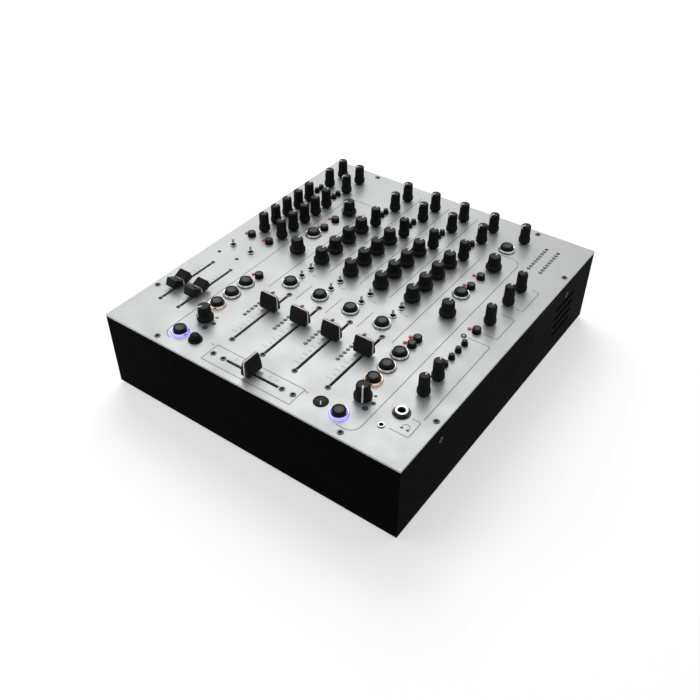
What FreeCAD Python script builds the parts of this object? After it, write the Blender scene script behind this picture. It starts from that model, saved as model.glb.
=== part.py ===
"""Four-channel club mixer: a folded steel case under a flat aluminium panel of controls.

The origin is on the table, under the middle of the case. +X is to the player's right,
+Y to the back and +Z up. Every control is drawn about the panel's top face and then
placed on its column and row.
"""
import FreeCAD, Part
import os
import re

import Sketcher

Vector = FreeCAD.Vector
Rotation = FreeCAD.Rotation
Placement = FreeCAD.Placement

# Driving sizes in millimetres, and counts. Each is one cell of the sheet.
SIZES = {
    # Case
    "case_width": 320,
    "case_depth": 358,
    "case_height": 81,
    "sheet_metal": 1.5,
    "panel_thickness": 2,
    "flange_width": 11,
    "rear_inset": 10,
    "vent_count": 4,
    "vent_pitch": 10.4,
    "vent_length": 41,
    "vent_height": 3.4,
    "vent_middle_y": 119,
    "vent_low_z": 23.5,
    "foot_height": 3,
    "foot_radius": 9,
    "foot_margin": 26,
    # Screws
    "screw_head_radius": 2.8,
    "screw_head_height": 0.6,
    "screw_shank_radius": 1.5,
    "screw_length": 7,
    "screw_inset": 5.5,
    "screw_side_y": 119,
    "screw_end_x": 100,
    "screw_end_inset": 6,
    "screw_wall_z": 63.5,
    # Fits
    "running_gap": 0.3,
    "panel_gap": 0.4,
    "seat_gap": 0.05,
    # Board behind the panel
    "board_drop": 14,
    "board_thickness": 1.6,
    "board_margin": 8,
    # Rotary controls
    "shaft_radius": 3,
    "pot_width": 10,
    "pot_height": 6.5,
    "pot_floor": 1,
    "bush_wall": 0.9,
    "knob_lift": 2.5,
    "knob_crown": 4,
    "knob_edge": 0.7,
    "pointer_width": 1.2,
    "pointer_depth": 0.8,
    "pointer_start": 1.6,
    "turn_to_stop": 150,
    "wide_height": 17.1,
    "wide_top_radius": 5.6,
    "wide_neck_radius": 6.3,
    "wide_neck_height": 9.1,
    "wide_skirt_radius": 7.9,
    "wide_skirt_height": 5.4,
    "wide_shoulder_radius": 5.5,
    "slim_height": 21.6,
    "slim_top_radius": 4.4,
    "slim_neck_radius": 4.6,
    "slim_neck_height": 8.6,
    "slim_skirt_radius": 5.4,
    "slim_skirt_height": 7.1,
    # Columns, and rows counted towards the back, on a panel of the layout's size
    "layout_width": 320,
    "layout_depth": 358,
    "channel_count": 4,
    "channel_pitch": 35,
    "channel_x": -50,
    "channel_level_offset": 5,
    "strip_pitch": 23,
    "strip_x": -132.2,
    "gain_y": 150,
    "send_y": 125,
    "trim_y": 88,
    "strip_row_pitch": 18.9,
    "eq_y": 69,
    "eq_pitch": 22.5,
    "left_filter_x": -80.3,
    "right_filter_x": 93,
    "filter_mode_y": 89.5,
    "filter_depth_y": 1.6,
    "filter_sweep_y": -132.2,
    "master_x": 95.5,
    "output_x": 130,
    "booth_y": 74,
    "tone_y": 49,
    "cue_mix_y": 13.7,
    "monitor_y": -76.5,
    "phones_level_y": -99,
    # Lit buttons
    "lit_cap_radius": 6.1,
    "lit_cap_height": 5.8,
    "lit_cap_edge": 1.1,
    "lit_cap_dish": 4.3,
    "ring_radius": 8.6,
    "ring_top_radius": 7.7,
    "ring_height": 2.6,
    "ring_wall": 0.9,
    "ring_depth": 4,
    "cue_offset": -3.4,
    "cue_y": -43.4,
    "left_button_x": -87.6,
    "right_button_x": 87,
    "filter_on_y": 37,
    "mode_button_y": -68.5,
    "mode_button_pitch": 20,
    "tempo_button_y": -157,
    "talk_button_y": 129,
    # Small buttons
    "push_travel": 2,
    "plunger_radius": 1.4,
    "switch_height": 8.5,
    "switch_width": 6.4,
    "lit_switch_width": 11,
    "lamp_cap_radius": 4.1,
    "lamp_cap_height": 4.9,
    "lamp_cap_edge": 0.6,
    "mini_cap_radius": 2.6,
    "mini_cap_top_radius": 2.1,
    "mini_cap_height": 5.2,
    "mini_cap_step": 2.2,
    "mini_offset": -0.3,
    "mini_upper_y": 115.2,
    "mini_lower_y": 107.4,
    "strip_mini_offset": -4.5,
    "strip_button_offset": -5.3,
    "strip_button_y": -2,
    "left_lamp_button_x": -84.4,
    "right_lamp_button_x": 89.5,
    "pair_upper_y": 70.5,
    "pair_lower_y": 51.5,
    "bypass_y": -53,
    "link_y": -43.6,
    "output_button_x": 126,
    "output_button_y": -3,
    "mute_y": -24.5,
    "mute_pitch": 11.2,
    "tap_x": -69,
    "tap_y": -157.5,
    "tap_radius": 4.9,
    "tap_height": 7.6,
    "tap_ring_radius": 6.8,
    "tap_ring_height": 2,
    # Curve selector
    "selector_x": 67,
    "selector_y": -154.5,
    "selector_radius": 6.3,
    "selector_height": 0.8,
    "selector_turn": 35,
    "selector_wall": 1.5,
    # Lever switches
    "lever_height": 8,
    "lever_tip_radius": 1.25,
    "lever_root_radius": 0.85,
    "lever_drop": 3,
    "lever_tail": 1.6,
    "pivot_radius": 1.4,
    "pivot_length": 2.6,
    "collar_radius": 3.1,
    "collar_bore": 2.35,
    "collar_height": 1,
    "lever_box_width": 7.5,
    "lever_box_depth": 10,
    "lever_box_drop": 5.5,
    "lever_offset": -1.7,
    "lever_upper_y": -13.7,
    "lever_lower_y": -28,
    "strip_lever_offset": -8.8,
    "strip_lever_y": -26.5,
    # Faders
    "slot_width": 3,
    "blade_width": 1.4,
    "blade_depth": 4,
    "blade_socket": 3.6,
    "carriage_width": 6,
    "carriage_length": 8,
    "carriage_height": 5,
    "track_width": 12,
    "track_height": 10,
    "track_wall": 1.2,
    "track_end": 4,
    "channel_travel": 60,
    "channel_slot": 74,
    "channel_slot_y": -98,
    "channel_screw_span": 80,
    "channel_rest_y": -86,
    "fader_offset": 6.8,
    "strip_travel": 50,
    "strip_slot": 67,
    "strip_slot_y": -96.7,
    "strip_screw_span": 71.5,
    "strip_rest_y": -107,
    "strip_fader_offset": -5,
    "cross_travel": 45,
    "cross_slot": 57,
    "cross_slot_y": -161.7,
    "cross_screw_span": 64.5,
    "cross_plate_length": 96,
    "cross_plate_depth": 20.7,
    "cross_plate_screw_span": 87.5,
    "cross_ledge": 4,
    "cap_lift": 2.5,
    "cap_width": 18,
    "cap_height": 18.5,
    "cap_foot": 10,
    "cap_lip": 1.6,
    "cap_ridge": 3,
    "cap_flank": 26,
    "cap_corner": 1.2,
    "saddle_width": 12,
    "saddle_length": 23.6,
    "saddle_foot": 14,
    "saddle_waist": 6.5,
    "saddle_height": 12,
    "saddle_top": 19,
    "saddle_crest": 16.6,
    "saddle_dip": 11,
    # Lamps
    "lamp_radius": 1.45,
    "lamp_height": 1.1,
    "lamp_dome": 0.9,
    "lamp_gap": 0.15,
    "meter_offset": -7.7,
    "meter_y": -64.5,
    "meter_pitch": 5,
    "meter_count": 9,
    "main_meter_x": 119.5,
    "main_meter_gap": 12.5,
    "main_meter_y": 153,
    "button_lamp_offset": -7.1,
    "status_lamp_y": -43,
    "status_lamp_offset": -12.8,
    "mute_lamp_y": -14.5,
    # Sockets on the panel
    "phones_x": 127,
    "phones_y": -127,
    "plug_radius": 3.2,
    "plug_depth": 28,
    "plug_bush": 5.4,
    "plug_bush_height": 2.4,
    "plug_washer_radius": 7.8,
    "plug_washer_height": 0.8,
    "plug_nut_radius": 7,
    "plug_nut_height": 1.4,
    "plug_box": 14,
    "plug_box_drop": 1,
    "mini_plug_x": 121.5,
    "mini_plug_y": -148,
    "mini_plug_radius": 1.8,
    "mini_plug_depth": 15,
    "mini_plug_bush": 2.9,
    "mini_plug_bush_height": 1.2,
    "mini_plug_box": 9,
    # Sockets at the back
    "socket_low_z": 22,
    "socket_pitch_z": 19,
    "phono_count": 8,
    "phono_pitch": 16,
    "phono_x": -20,
    "phono_radius": 4.15,
    "phono_length": 8.5,
    "phono_bore": 1.65,
    "phono_flange_radius": 6,
    "phono_flange": 1.5,
    "phono_tail": 14,
    "line_out_x": -58,
    "line_out_pitch": 20,
    "line_out_columns": 2,
    "line_out_length": 3,
    "xlr_x": -104,
    "xlr_pitch": 30,
    "xlr_z": 50,
    "xlr_width": 26,
    "xlr_tall": 31,
    "xlr_flange": 2,
    "xlr_barrel_radius": 11.6,
    "xlr_bore": 9.3,
    "xlr_depth": 14,
    "xlr_tail": 18,
    "inlet_x": 132,
    "inlet_z": 42,
    "inlet_width": 36,
    "inlet_tall": 28,
    "inlet_flange": 2.5,
    "inlet_mouth_width": 24,
    "inlet_mouth_tall": 16.5,
    "inlet_body_wall": 2,
    "inlet_depth": 18,
    "input_board_height": 50,
    "input_board_low_z": 8,
    # Power supply
    "supply_x": 70,
    "supply_y": -60,
    "core_radius": 36,
    "core_hole": 10,
    "core_height": 32,
    "core_round": 8,
    "core_bolt_radius": 4,
    "supply_board_width": 90,
    "supply_board_depth": 110,
    "supply_board_x": -60,
    "supply_post_radius": 3,
    "supply_post_height": 8,
    "supply_post_margin": 6,
    "capacitor_radius": 9,
    "capacitor_height": 28,
    "capacitor_pitch": 24,
}

# Sizes that follow from the ones above.
DERIVED = {
    "across": "case_width / layout_width",
    "along": "case_depth / layout_depth",
    "channel_reach": "channel_screw_span * along",
    "strip_reach": "strip_screw_span * along",
    "panel_top": "foot_height + case_height",
    "panel_under": "panel_top - panel_thickness",
    "board_depth": "panel_thickness + board_drop",
    "shaft_hole": "shaft_radius + running_gap",
    "pot_bush_radius": "shaft_hole + bush_wall",
    "knob_bore": "shaft_radius + seat_gap",
    "plunger_hole": "plunger_radius + running_gap",
    "plunger_end": "-board_depth + pot_floor + push_travel + running_gap",
    "cap_bottom": "-panel_thickness",
    "ring_bore": "lit_cap_radius + panel_gap",
    "ring_tube": "ring_bore + ring_wall",
    "tap_bore": "tap_radius + panel_gap",
    "tap_tube": "tap_bore + ring_wall",
    "track_room": "carriage_width + 2 * running_gap",
    "track_deep": "carriage_height + 2 * running_gap",
    "carriage_top": "-panel_thickness - track_wall - running_gap",
    "lamp_ball": "(lamp_radius * lamp_radius + lamp_dome * lamp_dome) / (2 * lamp_dome)",
    "inner_half_width": "case_width / 2 - sheet_metal",
    "front_inner_y": "-case_depth / 2 + sheet_metal",
    "rear_y": "case_depth / 2 - rear_inset",
    "base_top": "foot_height + sheet_metal",
}

doc = FreeCAD.newDocument("mixer")
sheet = doc.addObject("Spreadsheet::Sheet", "Sizes")
for row, (alias, number) in enumerate(SIZES.items(), start=1):
    sheet.set("A%d" % row, alias)
    sheet.set("B%d" % row, str(number))
    sheet.setAlias("B%d" % row, alias)
doc.recompute()

nodes = []


def formula(text):
    """The expression for text, with every named size pointed at its cell."""
    def point(match):
        word = match.group(0)
        if word in SIZES:
            return "Sizes." + word
        if word in DERIVED:
            return "(" + formula(DERIVED[word]) + ")"
        return word
    return re.sub(r"[a-z_][a-z_0-9]*", point, text)


def value(text):
    """The number that a formula gives now."""
    return float(sheet.evalExpression(formula(text)))


def count(alias):
    """A whole number read from the sheet."""
    return int(round(value(alias)))


def bind(item, prop, text):
    item.setExpression(prop, formula(text))


def place(item, x="0", y="0", z="0"):
    """Bind an object's position to formulas."""
    for axis, text in zip("xyz", (x, y, z)):
        if text != "0":
            bind(item, "Placement.Base." + axis, text)
    return item


# Solids from primitives


def box(name, low, lengths):
    """A block from its low corner and its three lengths."""
    item = doc.addObject("Part::Box", name)
    for prop, text in zip(("Length", "Width", "Height"), lengths):
        bind(item, prop, text)
    return place(item, *low)


def middle_box(name, width, depth, low_z, height, x="0", y="0"):
    """A block centred on a column and row."""
    low = ("(%s) - (%s) / 2" % (x, width), "(%s) - (%s) / 2" % (y, depth), low_z)
    return box(name, low, (width, depth, height))


def rod(name, radius, low_z, height, x="0", y="0"):
    """An upright cylinder."""
    item = doc.addObject("Part::Cylinder", name)
    bind(item, "Radius", radius)
    bind(item, "Height", height)
    return place(item, x, y, low_z)


def cross_rod(name, radius, length, axis, middle):
    """A cylinder lying along X or Y, centred on a point."""
    item = doc.addObject("Part::Cylinder", name)
    bind(item, "Radius", radius)
    bind(item, "Height", length)
    turn = Rotation(Vector(0, 1, 0), 90) if axis == "x" else Rotation(Vector(1, 0, 0), -90)
    item.Placement = Placement(Vector(), turn)
    low = list(middle)
    spot = "xy".index(axis)
    low[spot] = "(%s) - (%s) / 2" % (middle[spot], length)
    return place(item, *low)


def cut(name, base, *tools):
    """Base with the tools taken out of it."""
    item = doc.addObject("Part::Cut", name)
    item.Base = base
    item.Tool = tools[0] if len(tools) == 1 else gather(name + "_tools", tools)
    return item


def fuse(name, *parts):
    item = doc.addObject("Part::MultiFuse", name)
    item.Shapes = list(parts)
    return item


def gather(name, members):
    item = doc.addObject("Part::Compound", name)
    item.Links = list(members)
    return item


# Sketched solids


def origin_plane(body, role):
    return [item for item in body.Origin.OriginFeatures if item.Role == role][0]


def arc_between(start, end, radius):
    """The short arc from start to end: it turns left where radius is positive."""
    chord = end - start
    half = chord.Length / 2
    side = Vector(-chord.y, chord.x, 0).normalize()
    reach = max(radius * radius - half * half, 0) ** 0.5
    centre = (start + end) / 2 + side * (reach if radius > 0 else -reach)
    circle = Part.Circle(centre, Vector(0, 0, 1), abs(radius))
    first, last = (start, end) if radius > 0 else (end, start)
    return Part.ArcOfCircle(circle, circle.parameter(first), circle.parameter(last))


def outline(body, plane, corners, level="0"):
    """A closed sketch through corners (x, y), or (x, y, radius) where an arc starts."""
    sketch = body.newObject("Sketcher::SketchObject", body.Name + "_outline")
    sketch.AttachmentSupport = [(origin_plane(body, plane), "")]
    sketch.MapMode = "FlatFace"
    if level != "0":
        bind(sketch, "AttachmentOffset.Base.z", level)
    spots = [Vector(value(c[0]), value(c[1]), 0) for c in corners]
    ends = []
    for i, corner in enumerate(corners):
        start, end = spots[i], spots[(i + 1) % len(spots)]
        bent = len(corner) > 2
        if bent:
            radius = value(corner[2])
            sketch.addGeometry(arc_between(start, end, radius), False)
            ends.append((1, 2) if radius > 0 else (2, 1))
        else:
            sketch.addGeometry(Part.LineSegment(start, end), False)
            ends.append((1, 2))
    for i in range(len(corners)):
        following = (i + 1) % len(corners)
        sketch.addConstraint(
            Sketcher.Constraint("Coincident", i, ends[i][1], following, ends[following][0]))
    for i, corner in enumerate(corners):
        for kind, axis, text in (("DistanceX", -2, corner[0]), ("DistanceY", -1, corner[1])):
            if text == "0":
                sketch.addConstraint(Sketcher.Constraint("PointOnObject", i, ends[i][0], axis))
                continue
            spot = sketch.addConstraint(
                Sketcher.Constraint(kind, -1, 1, i, ends[i][0], value(text)))
            bind(sketch, "Constraints[%d]" % spot, text)
        if len(corner) > 2:
            spot = sketch.addConstraint(
                Sketcher.Constraint("Radius", i, abs(value(corner[2]))))
            bind(sketch, "Constraints[%d]" % spot, corner[2].lstrip("-"))
    return sketch


def turned(name, corners):
    """A body turned about Z from an outline of radius and height."""
    body = doc.addObject("PartDesign::Body", name)
    sketch = outline(body, "XZ_Plane", corners)
    spin = body.newObject("PartDesign::Revolution", name + "_turn")
    spin.Profile = sketch
    spin.ReferenceAxis = (sketch, ["V_Axis"])
    spin.Angle = 360
    return body


def padded(name, plane, corners, length, level="0"):
    """A body pushed out of an outline, along the plane's own normal."""
    body = doc.addObject("PartDesign::Body", name)
    add_pad(body, plane, corners, length, level)
    return body


def add_pad(body, plane, corners, length, level="0"):
    pad = body.newObject("PartDesign::Pad", body.Name + "_pad")
    pad.Profile = outline(body, plane, corners, level)
    bind(pad, "Length", length)
    return pad


def add_pocket(body, plane, corners, length, level="0"):
    """A pocket down the plane's own normal, from the level of its sketch."""
    pocket = body.newObject("PartDesign::Pocket", body.Name + "_pocket")
    pocket.Profile = outline(body, plane, corners, level)
    bind(pocket, "Length", length)
    return pocket


def oblong(x0, x1, y0, y1):
    return [(x0, y0), (x1, y0), (x1, y1), (x0, y1)]


def round_edges(body, name, radius, chosen):
    """Fillet the edges of a body that the test picks out."""
    doc.recompute()
    tip = body.Tip
    edges = ["Edge%d" % n for n, edge in enumerate(tip.Shape.Edges, start=1) if chosen(edge)]
    fillet = body.newObject("PartDesign::Fillet", name)
    fillet.Base = (tip, edges)
    bind(fillet, "Radius", radius)
    return fillet


# Copies and nodes


def copy(name, source, x, y, z="panel_top", turn=0):
    """One more of a piece, standing on the panel at a column and row."""
    item = doc.addObject("App::Link", name)
    item.LinkedObject = source
    item.Placement = Placement(Vector(), Rotation(Vector(0, 0, 1), turn))
    return place(item, x, y, z)


def node(label, members, x="0", y="0", z="0", turn=0):
    """A named sub-part: its members moved together to their place."""
    item = gather(label, members)
    item.Label = label
    item.Placement = Placement(Vector(), Rotation(Vector(0, 0, 1), turn))
    nodes.append(item)
    return place(item, x, y, z)


def spread(name, source, spots):
    """A copy of source at each (x, y) spot, with a turn where the spot has one."""
    return [copy("%s_%d" % (name, i), source, spot[0], spot[1], turn=spot[2] if len(spot) > 2 else 0)
            for i, spot in enumerate(spots)]


def channel(i, offset="0"):
    return "channel_x + %s + %d * channel_pitch" % (offset, i)


def strip(i, offset="0"):
    return "strip_x + %s + %d * strip_pitch" % (offset, i)


CHANNELS = range(count("channel_count"))
STRIPS = range(2)
LEFT_STOP = count("turn_to_stop")


def scaled(spots):
    """Spots of the layout, drawn in or spread out with the case."""
    return [("(%s) * across" % spot[0], "(%s) * along" % spot[1]) + tuple(spot[2:]) for spot in spots]


# Where the controls stand

EQ_SPOTS = [(channel(i), "eq_y - %d * eq_pitch" % band) for i in CHANNELS for band in range(4)]
FILTER_ROWS = ("filter_mode_y", "filter_depth_y", "filter_sweep_y")
FILTER_TURNS = {"left": (LEFT_STOP, 0, LEFT_STOP), "right": (0, 0, -LEFT_STOP)}
FILTER_SPOTS = [(side + "_filter_x", y, turn) for side in ("left", "right")
                for y, turn in zip(FILTER_ROWS, FILTER_TURNS[side])]
STRIP_ROWS = ["trim_y - %d * strip_row_pitch" % step for step in range(5)]
LEVEL_SPOTS = [(strip(i), y, LEFT_STOP) for i in STRIPS for y in ("gain_y", "send_y")]
LEVEL_SPOTS += [(strip(i), y, 0) for i in STRIPS for y in STRIP_ROWS]
for i in CHANNELS:
    LEVEL_SPOTS += [(channel(i, "channel_level_offset"), y, turn) for y, turn in
                    (("gain_y", LEFT_STOP), ("send_y", LEFT_STOP), ("trim_y", 0))]
LEVEL_SPOTS.append(("master_x", "gain_y", LEFT_STOP))
LEVEL_SPOTS += [("output_x", y, 0) for y in
                ("booth_y", "tone_y", "cue_mix_y", "monitor_y", "phones_level_y")]
EQ_SPOTS, FILTER_SPOTS, LEVEL_SPOTS = (scaled(s) for s in (EQ_SPOTS, FILTER_SPOTS, LEVEL_SPOTS))
SELECTOR_SPOTS = scaled([("selector_x", "selector_y")])
ROTARY_SPOTS = [spot[:2] for spot in EQ_SPOTS + FILTER_SPOTS + LEVEL_SPOTS]

CUE_SPOTS = scaled([(channel(i, "cue_offset"), "cue_y") for i in CHANNELS])
FILTER_BUTTON_ROWS = ["filter_on_y"]
FILTER_BUTTON_ROWS += ["mode_button_y - %d * mode_button_pitch" % step for step in range(3)]
FILTER_BUTTON_ROWS += ["tempo_button_y"]
LEFT_SPOTS = scaled([("left_button_x", y) for y in FILTER_BUTTON_ROWS])
RIGHT_SPOTS = scaled([("right_button_x", y) for y in ["talk_button_y"] + FILTER_BUTTON_ROWS])
LIT_SPOTS = CUE_SPOTS + LEFT_SPOTS + RIGHT_SPOTS
LAMP_BUTTON_SPOTS = [(strip(i, "strip_button_offset"), "strip_button_y") for i in STRIPS]
LAMP_BUTTON_SPOTS += [(side + "_lamp_button_x", y) for side in ("left", "right")
                      for y in ("pair_upper_y", "pair_lower_y", "bypass_y")]
LAMP_BUTTON_SPOTS += [("right_lamp_button_x", "link_y"), ("output_button_x", "output_button_y")]
LAMP_BUTTON_SPOTS = scaled(LAMP_BUTTON_SPOTS)
MINI_SPOTS = [(strip(i, "strip_mini_offset"), y) for i in STRIPS
              for y in ("mini_upper_y", "mini_lower_y")]
MINI_SPOTS += [(channel(i, "mini_offset"), y) for i in CHANNELS
               for y in ("mini_upper_y", "mini_lower_y")]
MINI_SPOTS += [("output_button_x", "mute_y - %d * mute_pitch" % step) for step in range(4)]
MINI_SPOTS = scaled(MINI_SPOTS)
TAP_SPOTS = scaled([("tap_x", "tap_y")])

CHANNEL_LEVERS = [scaled([(channel(i, "lever_offset"), y) for y in ("lever_upper_y", "lever_lower_y")])
                  for i in CHANNELS]
STRIP_LEVERS = [scaled([(strip(i, "strip_lever_offset"), "strip_lever_y")]) for i in STRIPS]
LEVER_SPOTS = [spot for pair in CHANNEL_LEVERS + STRIP_LEVERS for spot in pair]

METER_STEPS = range(count("meter_count"))
LAMP_SPOTS = [(channel(i, "meter_offset"), "meter_y - %d * meter_pitch" % step)
              for i in CHANNELS for step in METER_STEPS]
LAMP_SPOTS += [("main_meter_x + %d * main_meter_gap" % side, "main_meter_y - %d * meter_pitch" % step)
               for side in range(2) for step in METER_STEPS]
LAMP_SPOTS += [(strip(i, "status_lamp_offset"), "status_lamp_y") for i in STRIPS]
LAMP_SPOTS.append(("main_meter_x", "mute_lamp_y"))
LAMP_SPOTS = scaled(LAMP_SPOTS)
LAMP_SPOTS += [("%s + button_lamp_offset" % x, y) for x, y in LAMP_BUTTON_SPOTS]

CHANNEL_SLOTS = scaled([(channel(i, "fader_offset"), "channel_slot_y") for i in CHANNELS])
STRIP_SLOTS = scaled([(strip(i, "strip_fader_offset"), "strip_slot_y") for i in STRIPS])
CROSS_SLOT = scaled([("0", "cross_slot_y")])
CROSS_ROW = CROSS_SLOT[0][1]
PHONES_SPOTS = scaled([("phones_x", "phones_y")])
MINI_PLUG_SPOTS = scaled([("mini_plug_x", "mini_plug_y")])

# Rotary controls


def knob(name, corners, height):
    """A knob turned from its outer corners, bored for the shaft, with a pointer slot on top."""
    bore_end = "%s - knob_crown" % height
    body = turned(name, corners + [
        ("0", height), ("0", bore_end), ("knob_bore", bore_end), ("knob_bore", "knob_lift")])
    slot = oblong("-pointer_width / 2", "pointer_width / 2", "pointer_start", "wide_skirt_radius")
    add_pocket(body, "XY_Plane", slot, "pointer_depth", height)
    return body


wide_cap = knob("wide_cap", [
    ("wide_skirt_radius", "knob_lift"),
    ("wide_skirt_radius", "wide_skirt_height", "wide_shoulder_radius"),
    ("wide_neck_radius", "wide_neck_height"),
    ("wide_top_radius", "wide_height - knob_edge"),
    ("wide_top_radius - knob_edge", "wide_height")], "wide_height")
slim_cap = knob("slim_cap", [
    ("slim_skirt_radius - knob_edge", "knob_lift"),
    ("slim_skirt_radius", "slim_skirt_height"),
    ("slim_neck_radius", "slim_neck_height"),
    ("slim_top_radius", "slim_height - knob_edge"),
    ("slim_top_radius - knob_edge", "slim_height")], "slim_height")


def shaft(name, top):
    """A control shaft from the floor of its pot up to the end of a bore."""
    low = "-board_depth + pot_floor + running_gap"
    return gather(name, [rod(name + "_rod", "shaft_radius", low, "(%s) - (%s)" % (top, low))])


wide_shaft = shaft("wide_shaft", "wide_height - knob_crown")
slim_shaft = shaft("slim_shaft", "slim_height - knob_crown")

pot = padded("pot", "XY_Plane", oblong(
    "-pot_width / 2", "pot_width / 2", "-pot_width / 2", "pot_width / 2"),
    "pot_height", "-board_depth")
bushed_pot = cut(
    "bushed_pot",
    fuse("pot_with_bush", pot,
         rod("pot_bush", "pot_bush_radius", "-board_depth + pot_height", "board_drop - pot_height")),
    rod("pot_bore", "shaft_hole", "-board_depth + pot_floor", "board_drop"))

selector = turned("selector", [
    ("0", "plunger_end"), ("shaft_radius", "plunger_end"),
    ("shaft_radius", "-selector_wall"), ("selector_radius", "-selector_wall"),
    ("selector_radius", "selector_height"), ("0", "selector_height")])
add_pocket(selector, "XY_Plane", oblong(
    "-pointer_width / 2", "pointer_width / 2", "-selector_radius", "selector_radius"),
    "pointer_depth", "selector_height")

# Push buttons


def push_cap(name, upper):
    """A cap on its plunger: upper is the outline from the cap's wall to its top."""
    return turned(name, [
        ("0", "plunger_end"), ("plunger_radius", "plunger_end"),
        ("plunger_radius", "cap_bottom")] + upper)


lit_cap = push_cap("lit_cap", [
    ("lit_cap_radius", "cap_bottom"),
    ("lit_cap_radius", "lit_cap_height - lit_cap_edge", "lit_cap_edge"),
    ("lit_cap_radius - lit_cap_edge", "lit_cap_height"),
    ("lit_cap_dish", "lit_cap_height"),
    ("lit_cap_dish - lit_cap_edge / 2", "lit_cap_height - lit_cap_edge / 2"),
    ("0", "lit_cap_height - lit_cap_edge / 2")])
lamp_cap = push_cap("lamp_cap", [
    ("lamp_cap_radius", "cap_bottom"),
    ("lamp_cap_radius", "lamp_cap_height - lamp_cap_edge", "lamp_cap_edge"),
    ("lamp_cap_radius - lamp_cap_edge", "lamp_cap_height"),
    ("0", "lamp_cap_height")])
mini_cap = push_cap("mini_cap", [
    ("mini_cap_radius", "cap_bottom"),
    ("mini_cap_radius", "mini_cap_step"),
    ("mini_cap_top_radius", "mini_cap_step + mini_cap_radius - mini_cap_top_radius"),
    ("mini_cap_top_radius", "mini_cap_height"),
    ("0", "mini_cap_height")])
tap_cap = push_cap("tap_cap", [
    ("tap_radius", "cap_bottom"),
    ("tap_radius", "tap_height - tap_radius", "tap_radius"),
    ("0", "tap_height")])


def push_switch(name, width):
    """A switch housing on the board, bored for its plunger."""
    shell = padded(name + "_shell", "XY_Plane", oblong(
        "-%s / 2" % width, "%s / 2" % width, "-%s / 2" % width, "%s / 2" % width),
        "switch_height", "-board_depth")
    bore = rod(name + "_bore", "plunger_hole", "-board_depth + pot_floor", "switch_height")
    return cut(name, shell, bore)


lit_switch = push_switch("lit_switch", "lit_switch_width")
small_switch = push_switch("small_switch", "switch_width")

light_ring = turned("light_ring", [
    ("ring_bore", "-ring_depth"), ("ring_tube", "-ring_depth"), ("ring_tube", "0"),
    ("ring_radius", "0"), ("ring_radius", "ring_height / 2"),
    ("ring_top_radius", "ring_height"), ("ring_bore", "ring_height")])
tap_ring = turned("tap_ring", [
    ("tap_bore", "-ring_depth"), ("tap_tube", "-ring_depth"), ("tap_tube", "0"),
    ("tap_ring_radius", "0"), ("tap_ring_radius", "tap_ring_height / 2"),
    ("tap_tube", "tap_ring_height"), ("tap_bore", "tap_ring_height")])

# Lever switches

lever = fuse(
    "lever",
    turned("bat", [
        ("0", "-lever_drop - lever_tail"), ("lever_root_radius", "-lever_drop - lever_tail"),
        ("lever_root_radius", "0"), ("lever_tip_radius", "lever_height - lever_tip_radius",
                                     "lever_tip_radius"),
        ("0", "lever_height")]),
    cross_rod("pivot", "pivot_radius", "pivot_length", "y", ("0", "0", "-lever_drop")))
lever_switch = cut(
    "lever_switch",
    fuse("lever_body",
         middle_box("lever_box", "lever_box_width", "lever_box_depth", "-board_depth",
                    "board_depth - lever_box_drop"),
         rod("lever_collar", "collar_radius", "-lever_box_drop", "lever_box_drop + collar_height")),
    rod("lever_bore", "collar_bore", "-lever_drop - lever_tail - pivot_radius",
        "lever_drop + lever_tail + pivot_radius + collar_height"))

# Faders


def blade(name):
    """A fader's slider: a flat blade on the carriage that runs in the track."""
    carriage = middle_box(name + "_carriage", "carriage_width", "carriage_length",
                          "carriage_top - carriage_height", "carriage_height")
    arm = middle_box(name + "_arm", "blade_width", "blade_depth", "carriage_top",
                     "cap_lift + blade_socket - carriage_top")
    return fuse(name, carriage, arm)


def fader_cap(name, profile, width):
    """A cap padded across its slot from a side profile, with a socket for the blade."""
    body = padded(name, "YZ_Plane", profile, width, "-%s / 2" % width)
    socket = oblong("-blade_width / 2 - seat_gap", "blade_width / 2 + seat_gap",
                    "-blade_depth / 2 - seat_gap", "blade_depth / 2 + seat_gap")
    hole = add_pocket(body, "XY_Plane", socket, "blade_socket", "cap_lift")
    hole.Reversed = True
    return body


slider = blade("slider")
wedge_cap = fader_cap("wedge_cap", [
    ("-cap_foot / 2 + cap_lip", "cap_lift"), ("cap_foot / 2 - cap_lip", "cap_lift"),
    ("cap_foot / 2", "cap_lift + cap_lip", "-cap_flank"),
    ("cap_ridge / 2", "cap_height - cap_lip / 2"), ("cap_ridge / 2 - cap_lip / 2", "cap_height"),
    ("-cap_ridge / 2 + cap_lip / 2", "cap_height"),
    ("-cap_ridge / 2", "cap_height - cap_lip / 2", "-cap_flank"),
    ("-cap_foot / 2", "cap_lift + cap_lip")], "cap_width")
saddle_cap = fader_cap("saddle_cap", [
    ("-saddle_foot / 2", "cap_lift"), ("saddle_foot / 2", "cap_lift"),
    ("saddle_length / 2", "saddle_waist"), ("saddle_top / 2", "saddle_height - cap_lip"),
    ("saddle_crest / 2", "saddle_height", "-saddle_dip"), ("-saddle_crest / 2", "saddle_height"),
    ("-saddle_top / 2", "saddle_height - cap_lip"), ("-saddle_length / 2", "saddle_waist")],
    "saddle_width")


def upright(edge):
    """True for the slanting ends of a cap's two wide faces, which its maker rounds."""
    span = edge.BoundBox
    return span.XLength < value("seat_gap") and span.ZLength > value("cap_height - cap_lift") / 2


round_edges(wedge_cap, "wedge_round", "cap_corner", upright)


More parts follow.
